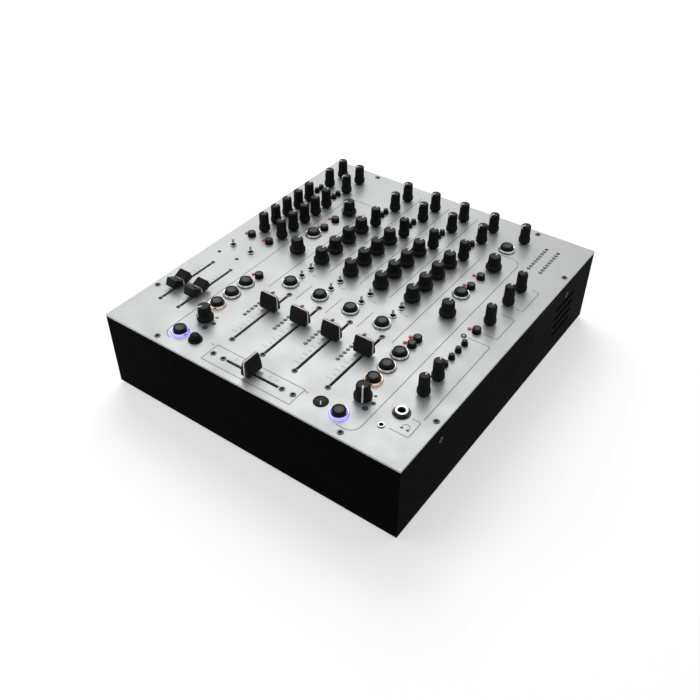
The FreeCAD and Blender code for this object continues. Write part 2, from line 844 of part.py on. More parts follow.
def track(name, travel, slot, span):
    """A fader's steel channel under the panel, open along its slot."""
    length = "(%s) + 2 * track_end" % span
    shell = middle_box(name + "_shell", "track_width", length,
                       "-panel_thickness - track_height", "track_height")
    room = middle_box(name + "_room", "track_room",
                      "(%s) + carriage_length + 4 * running_gap" % travel,
                      "-panel_thickness - track_wall - track_deep", "track_deep")
    mouth = middle_box(name + "_mouth", "slot_width", slot,
                       "-panel_thickness - track_wall - running_gap", "track_wall + 2 * running_gap")
    threads = [rod("%s_thread_%d" % (name, i), "screw_shank_radius + seat_gap",
                   "-panel_thickness - track_height", "2 * track_height", "0", y)
               for i, y in enumerate(("(%s) / 2" % span, "-(%s) / 2" % span))]
    return cut(name, shell, room, mouth, *threads)


channel_track = track("channel_track", "channel_travel * along", "channel_slot * along",
                      "channel_reach")
strip_track = track("strip_track", "strip_travel * along", "strip_slot * along", "strip_reach")
cross_track = track("cross_track", "cross_travel", "cross_slot", "cross_screw_span")

# Screws, lamps and sockets on the panel

screw = turned("screw", [
    ("0", "-screw_length"), ("screw_shank_radius", "-screw_length"),
    ("screw_shank_radius", "0"), ("screw_head_radius", "0"),
    ("screw_head_radius", "screw_head_height / 2"),
    ("screw_head_radius - screw_head_height", "screw_head_height"), ("0", "screw_head_height")])
lamp = turned("lamp", [
    ("0", "-board_depth"), ("lamp_radius", "-board_depth"),
    ("lamp_radius", "lamp_height - lamp_dome", "lamp_ball"),
    ("0", "lamp_height")])

plug_socket = cut(
    "plug_socket",
    fuse("plug_body",
         middle_box("plug_case", "plug_box", "plug_box",
                    "-panel_thickness - plug_box_drop - plug_depth", "plug_depth + plug_box_drop"),
         rod("plug_sleeve", "plug_bush", "-panel_thickness - plug_box_drop",
             "panel_thickness + plug_box_drop + plug_bush_height")),
    rod("plug_bore", "plug_radius", "plug_bush_height - plug_depth", "2 * plug_depth"))
plug_washer = turned("plug_washer", [
    ("plug_bush + seat_gap", "0"), ("plug_washer_radius", "0"),
    ("plug_washer_radius", "plug_washer_height"), ("plug_bush + seat_gap", "plug_washer_height")])
nut_blank = doc.addObject("Part::Prism", "nut_blank")
nut_blank.Polygon = 6
bind(nut_blank, "Circumradius", "plug_nut_radius")
bind(nut_blank, "Height", "plug_nut_height")
place(nut_blank, z="plug_washer_height")
plug_nut = cut("plug_nut", nut_blank,
               rod("nut_bore", "plug_bush + seat_gap", "0", "2 * plug_bush_height"))
mini_socket = cut(
    "mini_socket",
    fuse("mini_socket_body",
         middle_box("mini_socket_case", "mini_plug_box", "mini_plug_box",
                    "-panel_thickness - mini_plug_depth", "mini_plug_depth"),
         rod("mini_socket_sleeve", "mini_plug_bush", "-panel_thickness",
             "panel_thickness + mini_plug_bush_height")),
    rod("mini_socket_bore", "mini_plug_radius", "mini_plug_bush_height - mini_plug_depth",
        "2 * mini_plug_depth"))

# Case


def case_wrap():
    """Front and two sides folded from one sheet, with a flange to carry the panel."""
    half, inner = "case_width / 2", "inner_half_width"
    front, back = "-case_depth / 2", "case_depth / 2"
    lip_x, lip_y = "inner_half_width - flange_width", "front_inner_y + flange_width"
    walls = [("-" + half, front), (half, front), (half, back), (inner, back),
             (inner, "front_inner_y"), ("-" + "(%s)" % inner, "front_inner_y"),
             ("-" + "(%s)" % inner, back), ("-" + half, back)]
    body = padded("wrap", "XY_Plane", walls, "panel_under - foot_height", "foot_height")
    rim = [("-" + half, front), (half, front), (half, back),
           (lip_x, back), (lip_x, lip_y), ("-(%s)" % lip_x, lip_y), ("-(%s)" % lip_x, back),
           ("-" + half, back)]
    add_pad(body, "XY_Plane", rim, "sheet_metal", "panel_under - sheet_metal")
    return body


def rear_sheet():
    """The back wall, and the ledge welded along its top that holds the panel's rear edge."""
    wall = middle_box("rear_wall", "2 * inner_half_width", "sheet_metal", "base_top",
                      "panel_under - sheet_metal - base_top", "0", "rear_y - sheet_metal / 2")
    ledge = middle_box("rear_ledge", "2 * (inner_half_width - flange_width - panel_gap)",
                       "rear_inset + sheet_metal", "panel_under - sheet_metal", "sheet_metal",
                       "0", "rear_y + (rear_inset - sheet_metal) / 2")
    return wall, ledge


VENTS = [box("vent_%d" % i, (
    "-case_width", "vent_middle_y * along - vent_length / 2",
    "foot_height + vent_low_z - vent_height / 2 + %d * vent_pitch" % i),
    ("2 * case_width", "vent_length", "vent_height")) for i in range(count("vent_count"))]
SIDE_SCREW_X = "(case_width / 2 - screw_inset)"
END_SCREW_Y = "(case_depth / 2 - screw_end_inset)"
FLANGE_SCREWS = [(x + SIDE_SCREW_X, y + "screw_side_y * along") for x in ("", "-") for y in ("", "-")]
FLANGE_SCREWS += [(x + "screw_end_x * across", "-" + END_SCREW_Y) for x in ("", "-")]
REAR_SCREWS = [(x + "screw_end_x * across", END_SCREW_Y) for x in ("", "-")]


def wall_spots(name, source):
    """A copy of source at each screw in the side walls, pointing out of the wall."""
    items = []
    for side, sign in (("", 1), ("-", -1)):
        for row in ("", "-"):
            item = doc.addObject("App::Link", name)
            item.LinkedObject = source
            item.Placement = Placement(Vector(), Rotation(Vector(0, 1, 0), 90 * sign))
            items.append(place(item, side + "case_width / 2", row + "screw_side_y * along",
                               "foot_height + screw_wall_z"))
    return items


def drill(name, radius, spots, low_z="panel_top - board_depth", height="2 * board_depth"):
    """Upright cutters, one at each spot."""
    cutter = gather(name, [rod(name + "_rod", radius, "0", height)])
    return [copy("%s_%d" % (name, i), cutter, spot[0], spot[1], low_z)
            for i, spot in enumerate(spots)]


SCREW_HOLE = "screw_shank_radius + seat_gap"
wall_cutter = gather("wall_cutter", [rod(
    "wall_cutter_rod", SCREW_HOLE, "-screw_length", "2 * screw_length")])
CROSS_ROOM = "(cross_plate_length + 4 * cross_ledge + 2 * panel_gap)"
flange_notch = box("flange_notch", (
    "-%s / 2" % CROSS_ROOM, "front_inner_y", "panel_under - 2 * sheet_metal"),
    (CROSS_ROOM, "2 * flange_width", "3 * sheet_metal"))
node("case_wrap", [cut("drilled_wrap", case_wrap(), flange_notch, *(
    VENTS + drill("flange_drill", SCREW_HOLE, FLANGE_SCREWS)
    + wall_spots("wall_drill", wall_cutter)))])

node("base_plate", [box("base_sheet", ("-inner_half_width", "front_inner_y", "foot_height"), (
    "2 * inner_half_width", "case_depth - sheet_metal", "sheet_metal"))])

foot = turned("foot", [
    ("0", "0"), ("foot_radius - foot_height / 3", "0"), ("foot_radius", "foot_height"),
    ("0", "foot_height")])
FOOT_X = "(case_width / 2 - foot_margin)"
FOOT_Y = "(case_depth / 2 - foot_margin)"
node("rubber_feet", [copy("foot_%d" % i, foot, sx + FOOT_X, sy + FOOT_Y, "0")
                     for i, (sx, sy) in enumerate((("", ""), ("-", ""), ("", "-"), ("-", "-")))])

# Panel


def slot_cutters(name, slot, spots, lengthwise=True):
    """Cutters for the fader slots, along Y or along X."""
    sides = ("slot_width", slot) if lengthwise else (slot, "slot_width")
    cutter = gather(name, [middle_box(name + "_bar", sides[0], sides[1], "0", "2 * board_depth")])
    return [copy("%s_%d" % (name, i), cutter, x, y, "panel_top - board_depth")
            for i, (x, y) in enumerate(spots)]


FADER_SCREWS = [(x, "%s %s channel_reach / 2" % (y, sign)) for x, y in CHANNEL_SLOTS for sign in "+-"]
FADER_SCREWS += [(x, "%s %s strip_reach / 2" % (y, sign)) for x, y in STRIP_SLOTS for sign in "+-"]
CROSS_SCREWS = [("%s%s / 2" % (sign, span), CROSS_ROW) for sign in ("", "-")
                for span in ("cross_screw_span", "cross_plate_screw_span")]

blank = middle_box("panel_blank", "case_width", "case_depth", "panel_under", "panel_thickness")
window = middle_box("cross_window", "cross_plate_length + 2 * panel_gap",
                    "cross_plate_depth + 2 * panel_gap", "panel_top - board_depth",
                    "2 * board_depth", "0", CROSS_ROW)
openings = drill("shaft_drill", "shaft_radius + panel_gap", ROTARY_SPOTS)
openings += drill("ring_drill", "ring_tube + seat_gap", LIT_SPOTS)
openings += drill("tap_drill", "tap_tube + seat_gap", TAP_SPOTS)
openings += drill("lamp_cap_drill", "lamp_cap_radius + panel_gap", LAMP_BUTTON_SPOTS)
openings += drill("mini_cap_drill", "mini_cap_radius + panel_gap", MINI_SPOTS)
openings += drill("selector_drill", "selector_radius + panel_gap", SELECTOR_SPOTS)
openings += drill("collar_drill", "collar_radius + lamp_gap", LEVER_SPOTS)
openings += drill("lamp_drill", "lamp_radius + lamp_gap", LAMP_SPOTS)
openings += drill("screw_drill", SCREW_HOLE, FLANGE_SCREWS + REAR_SCREWS + FADER_SCREWS)
openings += drill("plug_drill", "plug_bush + seat_gap", PHONES_SPOTS)
openings += drill("mini_plug_drill", "mini_plug_bush + seat_gap", MINI_PLUG_SPOTS)
openings += slot_cutters("channel_cutter", "channel_slot * along", CHANNEL_SLOTS)
openings += slot_cutters("strip_cutter", "strip_slot * along", STRIP_SLOTS)
node("top_panel", [cut("drilled_panel", blank, window, *openings)])

cross_blank = middle_box("cross_blank", "cross_plate_length", "cross_plate_depth",
                         "panel_under", "panel_thickness", "0", CROSS_ROW)
bracket_blank = middle_box("bracket_blank", "cross_plate_length + 4 * cross_ledge",
                           "cross_plate_depth + 2 * panel_gap", "panel_under - sheet_metal",
                           "sheet_metal", "0", CROSS_ROW)
bracket_window = middle_box("bracket_window", "cross_screw_span + 2 * track_end + 2 * seat_gap",
                            "track_width + 2 * seat_gap", "panel_under - 2 * sheet_metal",
                            "3 * sheet_metal", "0", CROSS_ROW)
node("crossfader_plate", [
    cut("cross_plate", cross_blank, *(
        slot_cutters("cross_cutter", "cross_slot", CROSS_SLOT, False)
        + drill("cross_drill", SCREW_HOLE, CROSS_SCREWS))),
    cut("cross_bracket", bracket_blank, bracket_window,
        *drill("bracket_drill", SCREW_HOLE, CROSS_SCREWS[1::2]))])

node("case_screws", wall_spots("wall_screw", screw) + spread("screw", screw, (
    FLANGE_SCREWS + REAR_SCREWS + FADER_SCREWS + CROSS_SCREWS)))

# Behind the panel

notch = box("board_notch", ("phones_x * across - plug_box", "-case_depth / 2", "0"), (
    "case_width", "case_depth / 2 + phones_y * along + plug_box", "panel_top"))
board = cut("board", box("board_blank", (
    "-inner_half_width + board_margin", "front_inner_y + board_margin",
    "panel_top - board_depth - board_thickness"), (
    "2 * (inner_half_width - board_margin)",
    "rear_y - sheet_metal - front_inner_y - 2 * board_margin", "board_thickness")), notch)
INPUT_BOARD_Y = "rear_y - sheet_metal - phono_tail"
input_board = middle_box("input_board", "2 * (inner_half_width - board_margin)", "board_thickness",
                         "base_top + input_board_low_z", "input_board_height",
                         "0", INPUT_BOARD_Y + " - board_thickness / 2")

node("rotary_pots", spread("pot", bushed_pot, ROTARY_SPOTS + SELECTOR_SPOTS))
node("switch_housings", (
    spread("lit_switch", lit_switch, LIT_SPOTS)
    + spread("small_switch", small_switch, LAMP_BUTTON_SPOTS + MINI_SPOTS + TAP_SPOTS)
    + spread("lever_switch", lever_switch, LEVER_SPOTS)))
node("fader_tracks", (
    spread("channel_track", channel_track, CHANNEL_SLOTS)
    + spread("strip_track", strip_track, STRIP_SLOTS)
    + spread("cross_track", cross_track, [CROSS_SLOT[0] + (90,)])))
node("indicator_lamps", spread("lamp", lamp, LAMP_SPOTS))
node("button_rings", (
    spread("light_ring", light_ring, LIT_SPOTS) + spread("tap_ring", tap_ring, TAP_SPOTS)))
node("phones_jacks", (
    spread("plug_socket", plug_socket, PHONES_SPOTS)
    + spread("plug_washer", plug_washer, PHONES_SPOTS)
    + spread("plug_nut", plug_nut, PHONES_SPOTS)
    + spread("mini_socket", mini_socket, MINI_PLUG_SPOTS)))

# Back wall and its sockets


def backwards(name, source, x, z):
    """A socket drawn about Z, turned to point out of the back wall."""
    item = doc.addObject("App::Link", name)
    item.LinkedObject = source
    item.Placement = Placement(Vector(), Rotation(Vector(1, 0, 0), -90))
    return place(item, "(%s) * across" % x, "rear_y", z)


def rear_cutters(name, radius, spots):
    cutter = gather(name, [rod(name + "_rod", radius, "-plug_depth", "2 * plug_depth")])
    return [backwards("%s_%d" % (name, i), cutter, x, z) for i, (x, z) in enumerate(spots)]


SOCKET_ROWS = ["foot_height + socket_low_z + %d * socket_pitch_z" % i for i in range(2)]
PHONO_SPOTS = [("phono_x + %d * phono_pitch" % i, z) for i in range(count("phono_count"))
               for z in SOCKET_ROWS]
LINE_SPOTS = [("line_out_x + %d * line_out_pitch" % i, z)
              for i in range(count("line_out_columns")) for z in SOCKET_ROWS]
XLR_SPOTS = [("xlr_x - %d * xlr_pitch" % i, "xlr_z") for i in range(2)]

phono = turned("phono", [
    ("0", "-phono_tail - sheet_metal"), ("phono_radius", "-phono_tail - sheet_metal"),
    ("phono_radius", "0"), ("phono_flange_radius", "0"), ("phono_flange_radius", "phono_flange"),
    ("phono_radius", "phono_flange"), ("phono_radius", "phono_length"),
    ("phono_bore", "phono_length"), ("phono_bore", "phono_flange"), ("0", "phono_flange")])
line_socket = turned("line_socket", [
    ("0", "-plug_depth"), ("plug_bush + bush_wall", "-plug_depth"),
    ("plug_bush + bush_wall", "-sheet_metal"), ("plug_bush", "-sheet_metal"), ("plug_bush", "0"),
    ("plug_washer_radius", "0"), ("plug_washer_radius", "plug_nut_height"),
    ("plug_bush", "line_out_length"), ("plug_radius", "line_out_length"),
    ("plug_radius", "-plug_depth + bush_wall"), ("0", "-plug_depth + bush_wall")])
xlr = cut(
    "xlr",
    fuse("xlr_body",
         middle_box("xlr_face", "xlr_width", "xlr_tall", "0", "xlr_flange"),
         rod("xlr_barrel", "xlr_barrel_radius", "-xlr_tail", "xlr_tail")),
    rod("xlr_cavity", "xlr_bore", "xlr_flange - xlr_depth", "2 * xlr_depth"))
inlet = cut(
    "inlet",
    fuse("inlet_body",
         middle_box("inlet_face", "inlet_width", "inlet_tall", "0", "inlet_flange"),
         middle_box("inlet_case", "inlet_mouth_width + 2 * inlet_body_wall",
                    "inlet_mouth_tall + 2 * inlet_body_wall", "-inlet_depth", "inlet_depth")),
    middle_box("inlet_mouth", "inlet_mouth_width", "inlet_mouth_tall",
               "-inlet_depth + inlet_body_wall", "2 * inlet_depth"))

inlet_cutter = gather("inlet_cutter", [middle_box(
    "inlet_bar", "inlet_mouth_width + 2 * inlet_body_wall + 2 * seat_gap",
    "inlet_mouth_tall + 2 * inlet_body_wall + 2 * seat_gap", "-inlet_depth", "2 * inlet_depth")])
wall_cutters = rear_cutters("phono_cutter", "phono_radius + seat_gap", PHONO_SPOTS)
wall_cutters += rear_cutters("line_cutter", "plug_bush + seat_gap", LINE_SPOTS)
wall_cutters += rear_cutters("xlr_cutter", "xlr_barrel_radius + seat_gap", XLR_SPOTS)
wall_cutters.append(backwards("inlet_hole", inlet_cutter, "inlet_x", "inlet_z"))
rear_wall, rear_ledge = rear_sheet()
node("rear_panel", [cut("drilled_rear", rear_wall, *wall_cutters),
                    cut("drilled_ledge", rear_ledge, *drill("rear_drill", SCREW_HOLE, REAR_SCREWS))])

board_cutters = rear_cutters("line_room", "plug_bush + bush_wall + panel_gap", LINE_SPOTS)
board_cutters += rear_cutters("xlr_room", "xlr_barrel_radius + panel_gap", XLR_SPOTS)
inlet_room = gather("inlet_room", [middle_box(
    "inlet_room_bar", "inlet_width + 2 * panel_gap", "inlet_tall + 2 * panel_gap",
    "-2 * inlet_depth", "2 * inlet_depth")])
board_cutters.append(backwards("inlet_room_hole", inlet_room, "inlet_x", "inlet_z"))
node("circuit_boards", [board, cut("pierced_board", input_board, *board_cutters)])

node("rear_sockets", (
    [backwards("phono_%d" % i, phono, x, z) for i, (x, z) in enumerate(PHONO_SPOTS)]
    + [backwards("line_%d" % i, line_socket, x, z) for i, (x, z) in enumerate(LINE_SPOTS)]
    + [backwards("xlr_%d" % i, xlr, x, z) for i, (x, z) in enumerate(XLR_SPOTS)]))
node("mains_inlet", [backwards("mains_inlet_body", inlet, "inlet_x", "inlet_z")])

# Power supply on the base

core = turned("core", [
    ("core_hole", "0"), ("core_radius - core_round", "0", "core_round"),
    ("core_radius", "core_round"), ("core_radius", "core_height - core_round", "core_round"),
    ("core_radius - core_round", "core_height"), ("core_hole", "core_height")])
core_bolt = turned("core_bolt", [
    ("0", "0"), ("core_bolt_radius", "0"), ("core_bolt_radius", "core_height"),
    ("core_hole + core_bolt_radius", "core_height"),
    ("core_hole + core_bolt_radius", "core_height + sheet_metal"),
    ("0", "core_height + sheet_metal")])
supply_post = gather("supply_post", [rod("post", "supply_post_radius", "0", "supply_post_height")])
capacitor = turned("capacitor", [
    ("0", "0"), ("capacitor_radius", "0"), ("capacitor_radius", "capacitor_height"),
    ("0", "capacitor_height")])
SUPPLY_BOARD_Z = "base_top + supply_post_height"
POST_X = "(supply_board_width / 2 - supply_post_margin)"
POST_Y = "(supply_board_depth / 2 - supply_post_margin)"
posts = [copy("post_%d" % i, supply_post, "supply_board_x * across %s %s" % (sx, POST_X),
              "supply_y * along %s %s" % (sy, POST_Y), "base_top")
         for i, (sx, sy) in enumerate(("++", "+-", "-+", "--"))]
capacitors = [copy("capacitor_%d" % i, capacitor, "supply_board_x * across",
                   "supply_y * along + %d * capacitor_pitch" % step,
                   SUPPLY_BOARD_Z + " + board_thickness")
              for i, step in enumerate((-1, 0, 1))]
supply_board = middle_box("supply_board", "supply_board_width", "supply_board_depth",
                          SUPPLY_BOARD_Z, "board_thickness", "supply_board_x * across",
                          "supply_y * along")
CORE_SPOT = ("supply_x * across", "supply_y * along", "base_top")
node("power_supply", [copy("core_0", core, *CORE_SPOT), copy("core_bolt_0", core_bolt, *CORE_SPOT),
                      supply_board] + posts + capacitors)

# Controls that move

BANDS = ("high", "upper_mid", "lower_mid", "low")
for i, spot in enumerate(EQ_SPOTS):
    label = "eq_knob_%d_%s" % (i // len(BANDS) + 1, BANDS[i % len(BANDS)])
    node(label, [wide_cap, wide_shaft], spot[0], spot[1], "panel_top")
for i, (x, y, turn) in enumerate(FILTER_SPOTS):
    label = "filter_knob_%s_%s" % (("left", "right")[i // 3], ("mode", "depth", "sweep")[i % 3])
    node(label, [wide_cap, wide_shaft], x, y, "panel_top", turn)
node("level_knobs", (spread("slim_cap", slim_cap, LEVEL_SPOTS)
                     + spread("slim_shaft", slim_shaft, LEVEL_SPOTS)))
node("curve_selector", [selector], *SELECTOR_SPOTS[0], "panel_top", count("selector_turn"))

node("cue_buttons", spread("cue_button", lit_cap, CUE_SPOTS))
node("left_filter_buttons", spread("left_button", lit_cap, LEFT_SPOTS))
node("right_filter_buttons", spread("right_button", lit_cap, RIGHT_SPOTS))
node("lamp_buttons", spread("lamp_button", lamp_cap, LAMP_BUTTON_SPOTS))
node("mini_buttons", spread("mini_button", mini_cap, MINI_SPOTS))
node("tap_button", [tap_cap], *TAP_SPOTS[0], "panel_top")

for i, pair in enumerate(CHANNEL_LEVERS):
    node("assign_levers_%d" % (i + 1), spread("channel_lever_%d" % i, lever, pair))
for i, single in enumerate(STRIP_LEVERS):
    node("input_lever_%d" % (i + 1), spread("strip_lever_%d" % i, lever, single))

for i, (x, _) in enumerate(CHANNEL_SLOTS):
    node("channel_fader_%d" % (i + 1), [wedge_cap, slider], x, "channel_rest_y * along", "panel_top")
for i, (x, _) in enumerate(STRIP_SLOTS):
    node("input_fader_%d" % (i + 1), [saddle_cap, slider], x, "strip_rest_y * along", "panel_top")
node("crossfader", [wedge_cap, slider], "0", CROSS_ROW, "panel_top", 90)

# Check and write

doc.recompute()
for item in doc.Objects:
    if "Invalid" in item.State or "Error" in item.State:
        raise RuntimeError("%s failed: %s" % (item.Label, item.State))
for item in nodes:
    if item.Shape.isNull() or not item.Shape.isValid() or not item.Shape.Solids:
        raise RuntimeError("%s has no valid solid" % item.Label)

os.makedirs("parts", exist_ok=True)
for item in nodes:
    item.Shape.exportStep("parts/%s.step" % item.Label)
    print(item.Label, len(item.Shape.Solids), round(item.Shape.Volume, 1))
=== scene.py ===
"""Dresses a packed four-channel club mixer with its knobs, caps, lamps, prints and finishes.

Every form is worked out in millimetres about the panel's top face and put into the row frame.
"""
import math
from typing import NamedTuple

import bmesh
import bpy
import numpy as np
from bpy.props import FloatProperty, FloatVectorProperty, PointerProperty
from mathutils import Matrix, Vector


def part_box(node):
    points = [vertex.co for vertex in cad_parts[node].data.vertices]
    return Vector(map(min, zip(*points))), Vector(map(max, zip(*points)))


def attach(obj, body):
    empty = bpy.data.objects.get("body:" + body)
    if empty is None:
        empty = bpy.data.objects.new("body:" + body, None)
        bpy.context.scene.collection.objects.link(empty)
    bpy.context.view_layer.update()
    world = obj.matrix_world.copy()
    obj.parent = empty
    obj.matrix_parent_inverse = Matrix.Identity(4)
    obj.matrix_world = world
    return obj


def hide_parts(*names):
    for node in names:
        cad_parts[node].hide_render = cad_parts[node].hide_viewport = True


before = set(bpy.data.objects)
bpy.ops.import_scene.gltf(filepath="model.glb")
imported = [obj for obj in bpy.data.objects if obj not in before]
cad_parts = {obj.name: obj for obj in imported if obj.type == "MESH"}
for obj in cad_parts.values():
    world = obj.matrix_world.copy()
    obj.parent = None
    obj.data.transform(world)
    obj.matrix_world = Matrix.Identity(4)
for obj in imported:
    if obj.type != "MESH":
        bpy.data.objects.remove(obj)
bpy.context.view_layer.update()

bl_info = {
    "name": "Club mixer looks",
    "version": (1, 0, 0),
    "blender": (4, 5, 0),
    "location": "3D View > Sidebar > Mixer",
    "description": "Builds the visible controls, prints and finishes of a club mixer on its frame",
    "category": "Object",
}

MM = 0.001
PANEL_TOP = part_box("top_panel")[1].z / MM
REAR_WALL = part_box("rear_panel")[0].y / MM + 1.5
TURN_STOP = 150.0
SCENE_BODY = "mixer"
CREASE = math.radians(38.0)
# Heights in millimetres over a face: where a flange starts, and where a button's stem ends
FLUSH, STEM_FOOT = 0.02, -1.8


# Sizes and colours a user would change


def length(name, about, default):
    """A property for a length in millimetres."""
    return FloatProperty(name=name, description=about, default=default, min=0.0)


def colour(name, about, default):
    """A property for a linear colour."""
    return FloatVectorProperty(name=name, description=about, default=default, size=3,
                               subtype="COLOR", min=0.0, max=1.0)


class MixerSizes(bpy.types.PropertyGroup):
    """Lengths of the controls, in millimetres"""
    wide_height: length("Wide knob height", "Top of a wide knob over the panel", 17.1)
    wide_skirt: length("Wide knob skirt", "Radius of a wide knob's skirt", 7.9)
    slim_height: length("Slim knob height", "Top of a slim knob over the panel", 21.6)
    slim_skirt: length("Slim knob skirt", "Radius of a slim knob's skirt", 5.7)
    pointer_width: length("Pointer width", "Width of the white line on a knob", 1.35)
    ring_radius: length("Ring radius", "Outer radius of the ring round a large button", 8.6)
    cap_radius: length("Large cap radius", "Radius of a large button's cap", 6.1)
    cap_height: length("Large cap height", "Top of a large button over the panel", 5.8)
    print_lift: length("Print lift", "Height of the printed lines over the panel", 0.04)
    line_width: length("Printed line", "Width of the printed dividing lines", 0.6)


class MixerColours(bpy.types.PropertyGroup):
    """Colours of the finishes"""
    panel: colour("Panel", "Satin aluminium of the panel", (0.55, 0.56, 0.56))
    plate: colour("Crossfader plate", "Bare plate round the crossfader", (0.535, 0.545, 0.54))
    case: colour("Case", "Powder coat of the case", (0.0025, 0.0026, 0.0025))
    rubber: colour("Knob", "Soft-touch black of the knobs", (0.006, 0.006, 0.0065))
    cap_top: colour("Cap top", "Grey top of a button", (0.032, 0.032, 0.034))
    line: colour("Pointer", "White of pointers and cap lines", (0.85, 0.85, 0.84))
    chrome: colour("Chrome", "Polished metal", (0.78, 0.78, 0.79))
    ink: colour("Ink", "Grey of the printed lines", (0.07, 0.07, 0.075))
    red_ink: colour("Red ink", "Red of the printed marks", (0.55, 0.1, 0.08))


# Forms as arrays


class Form(NamedTuple):
    """Points, four-sided and three-sided faces, and the finish number of each face."""
    points: np.ndarray
    quads: np.ndarray
    tris: np.ndarray
    quad_finish: np.ndarray
    tri_finish: np.ndarray

    def placed(self, spots, shift=0):
        """A copy at each spot (x, y, z, turn in degrees); shift adds to a copy's finish numbers."""
        spots = np.asarray(spots, float).reshape(-1, 4)
        count, size = len(spots), len(self.points)
        turn = np.radians(spots[:, 3])
        cos, sin = np.cos(turn)[:, None], np.sin(turn)[:, None]
        x, y, z = self.points.T
        points = np.stack([x * cos - y * sin + spots[:, :1], x * sin + y * cos + spots[:, 1:2],
                           np.broadcast_to(z, (count, size)) + spots[:, 2:3]], -1)
        step = (np.arange(count) * size)[:, None, None]
        extra = np.broadcast_to(shift, count)[:, None]
        return Form(points.reshape(-1, 3), (self.quads + step).reshape(-1, 4),
                    (self.tris + step).reshape(-1, 3), (self.quad_finish + extra).ravel(),
                    (self.tri_finish + extra).ravel())

    def swung(self, matrix):
        """The form with its points carried through a 4 x 4 matrix."""
        matrix = np.asarray(matrix, float)
        return self._replace(points=self.points @ matrix[:3, :3].T + matrix[:3, 3])


def joined(*forms):
    """Several forms as one, their points numbered on."""
    starts = np.cumsum([0] + [len(form.points) for form in forms[:-1]])
    return Form(np.concatenate([form.points for form in forms]),
                np.concatenate([form.quads + start for form, start in zip(forms, starts)]),
                np.concatenate([form.tris + start for form, start in zip(forms, starts)]),
                np.concatenate([form.quad_finish for form in forms]),
                np.concatenate([form.tri_finish for form in forms]))


def skin(grid, finish, loop=False):
    """Faces over a grid whose rows run along the form and whose columns run round it.

    A row whose points coincide becomes one point, so the faces beside it are triangles.
    """
    rows, columns = grid.shape[:2]
    index = np.arange(rows * columns).reshape(rows, columns)
    poles = np.ptp(grid, axis=1).max(axis=1) < 1e-9
    index[poles] = index[poles][:, :1]
    low = index if loop else index[:-1]
    high = np.roll(index, -1, 0) if loop else index[1:]
    faces = np.stack([low, np.roll(low, -1, 1), np.roll(high, -1, 1), high], -1).reshape(-1, 4)
    finish = np.repeat(np.resize(np.asarray(finish, int), len(low)), columns)
    from_pole = faces[:, 0] == faces[:, 1]
    to_pole = faces[:, 2] == faces[:, 3]
    whole = ~(from_pole | to_pole)
    tris = np.concatenate([faces[from_pole][:, [0, 2, 3]], faces[to_pole][:, :3]])
    quads = faces[whole]
    used, place = np.unique(np.concatenate([quads.ravel(), tris.ravel()]), return_inverse=True)
    return Form(grid.reshape(-1, 3)[used], place[:quads.size].reshape(-1, 4),
                place[quads.size:].reshape(-1, 3), finish[whole],
                np.concatenate([finish[from_pole], finish[to_pole]]))


def stacked(rows, steps=56, teeth=0, loop=False):
    """Superellipse rings stacked in Z, from rows (half x, half y, power, z, finish, ripple).

    A ring's point at angle t is (a |cos t|^(2/p), b |sin t|^(2/p)) with the signs of cos and
    sin; ripple times cos(teeth t) swells it. A row may leave out ripple, or both ripple and
    finish, which are then 0.
    """
    table = np.array([list(row) + [0.0] * (6 - len(row)) for row in rows], float)
    half_x, half_y, power, height, finish, ripple = table.T[:, :, None]
    angle = np.linspace(0.0, 2.0 * np.pi, steps, endpoint=False) + 0.5 * np.pi
    cos, sin = np.cos(angle), np.sin(angle)
    swell = 1.0 + ripple * np.cos(teeth * angle)
    x = half_x * np.sign(cos) * np.abs(cos) ** (2.0 / power) * swell
    y = half_y * np.sign(sin) * np.abs(sin) ** (2.0 / power) * swell
    return skin(np.stack([x, y, np.broadcast_to(height, x.shape)], -1), finish[:, 0], loop)


def turned(rows, steps=56, teeth=0, loop=False):
    """A profile carried round Z, from rows (radius, z, finish, ripple)."""
    return stacked([(row[0], row[0], 2.0, row[1]) + tuple(row[2:]) for row in rows],
                   steps, teeth, loop)


def shaded(finish, *points):
    """Profile rows that share a finish."""
    return [(*point, finish) for point in points]


def bend(start, end, bulge, count=6):
    """Profile points from start to end on a parabola that stands bulge off the chord."""
    share = np.linspace(0.0, 1.0, count)[:, None]
    start, end = np.asarray(start, float), np.asarray(end, float)
    across = np.array([end[1] - start[1], start[0] - end[0]]) / np.linalg.norm(end - start)
    return start + share * (end - start) + 4.0 * bulge * share * (1.0 - share) * across


def ribbon(path, width, lift, finish):
    """A flat strip carried along a path of (y, z) points, lift over it and sunk into it."""
    sink = 0.3
    path = np.asarray(path, float)
    run = np.gradient(path, axis=0)
    run /= np.linalg.norm(run, axis=1)[:, None]
    out = np.stack([-run[:, 1], run[:, 0]], -1)
    top, under = path + lift * out, path - sink * out
    half = np.full(len(path), width / 2.0)
    corners = [(-half, top), (half, top), (half, under), (-half, under)]
    grid = np.stack([np.column_stack([x, line]) for x, line in corners], axis=1)
    ends = [np.repeat(grid[i].mean(axis=0)[None, None], 4, axis=1) for i in (0, -1)]
    return skin(np.concatenate([ends[0], grid, ends[1]]), finish)


def strokes(ends, width, z):
    """Flat bars on the panel, from (x0, y0, x1, y1) rows."""
    ends = np.asarray(ends, float).reshape(-1, 4)
    start, stop = ends[:, :2], ends[:, 2:]
    run = (stop - start) / np.linalg.norm(stop - start, axis=1)[:, None]
    side = np.stack([-run[:, 1], run[:, 0]], -1) * width / 2.0
    flat = np.stack([start - side, stop - side, stop + side, start + side], axis=1)
    points = np.concatenate([flat, np.full(flat.shape[:2] + (1,), z)], -1).reshape(-1, 3)
    return Form(points, np.arange(len(points)).reshape(-1, 4), np.zeros((0, 3), int),
                np.zeros(len(ends), int), np.zeros(0, int))


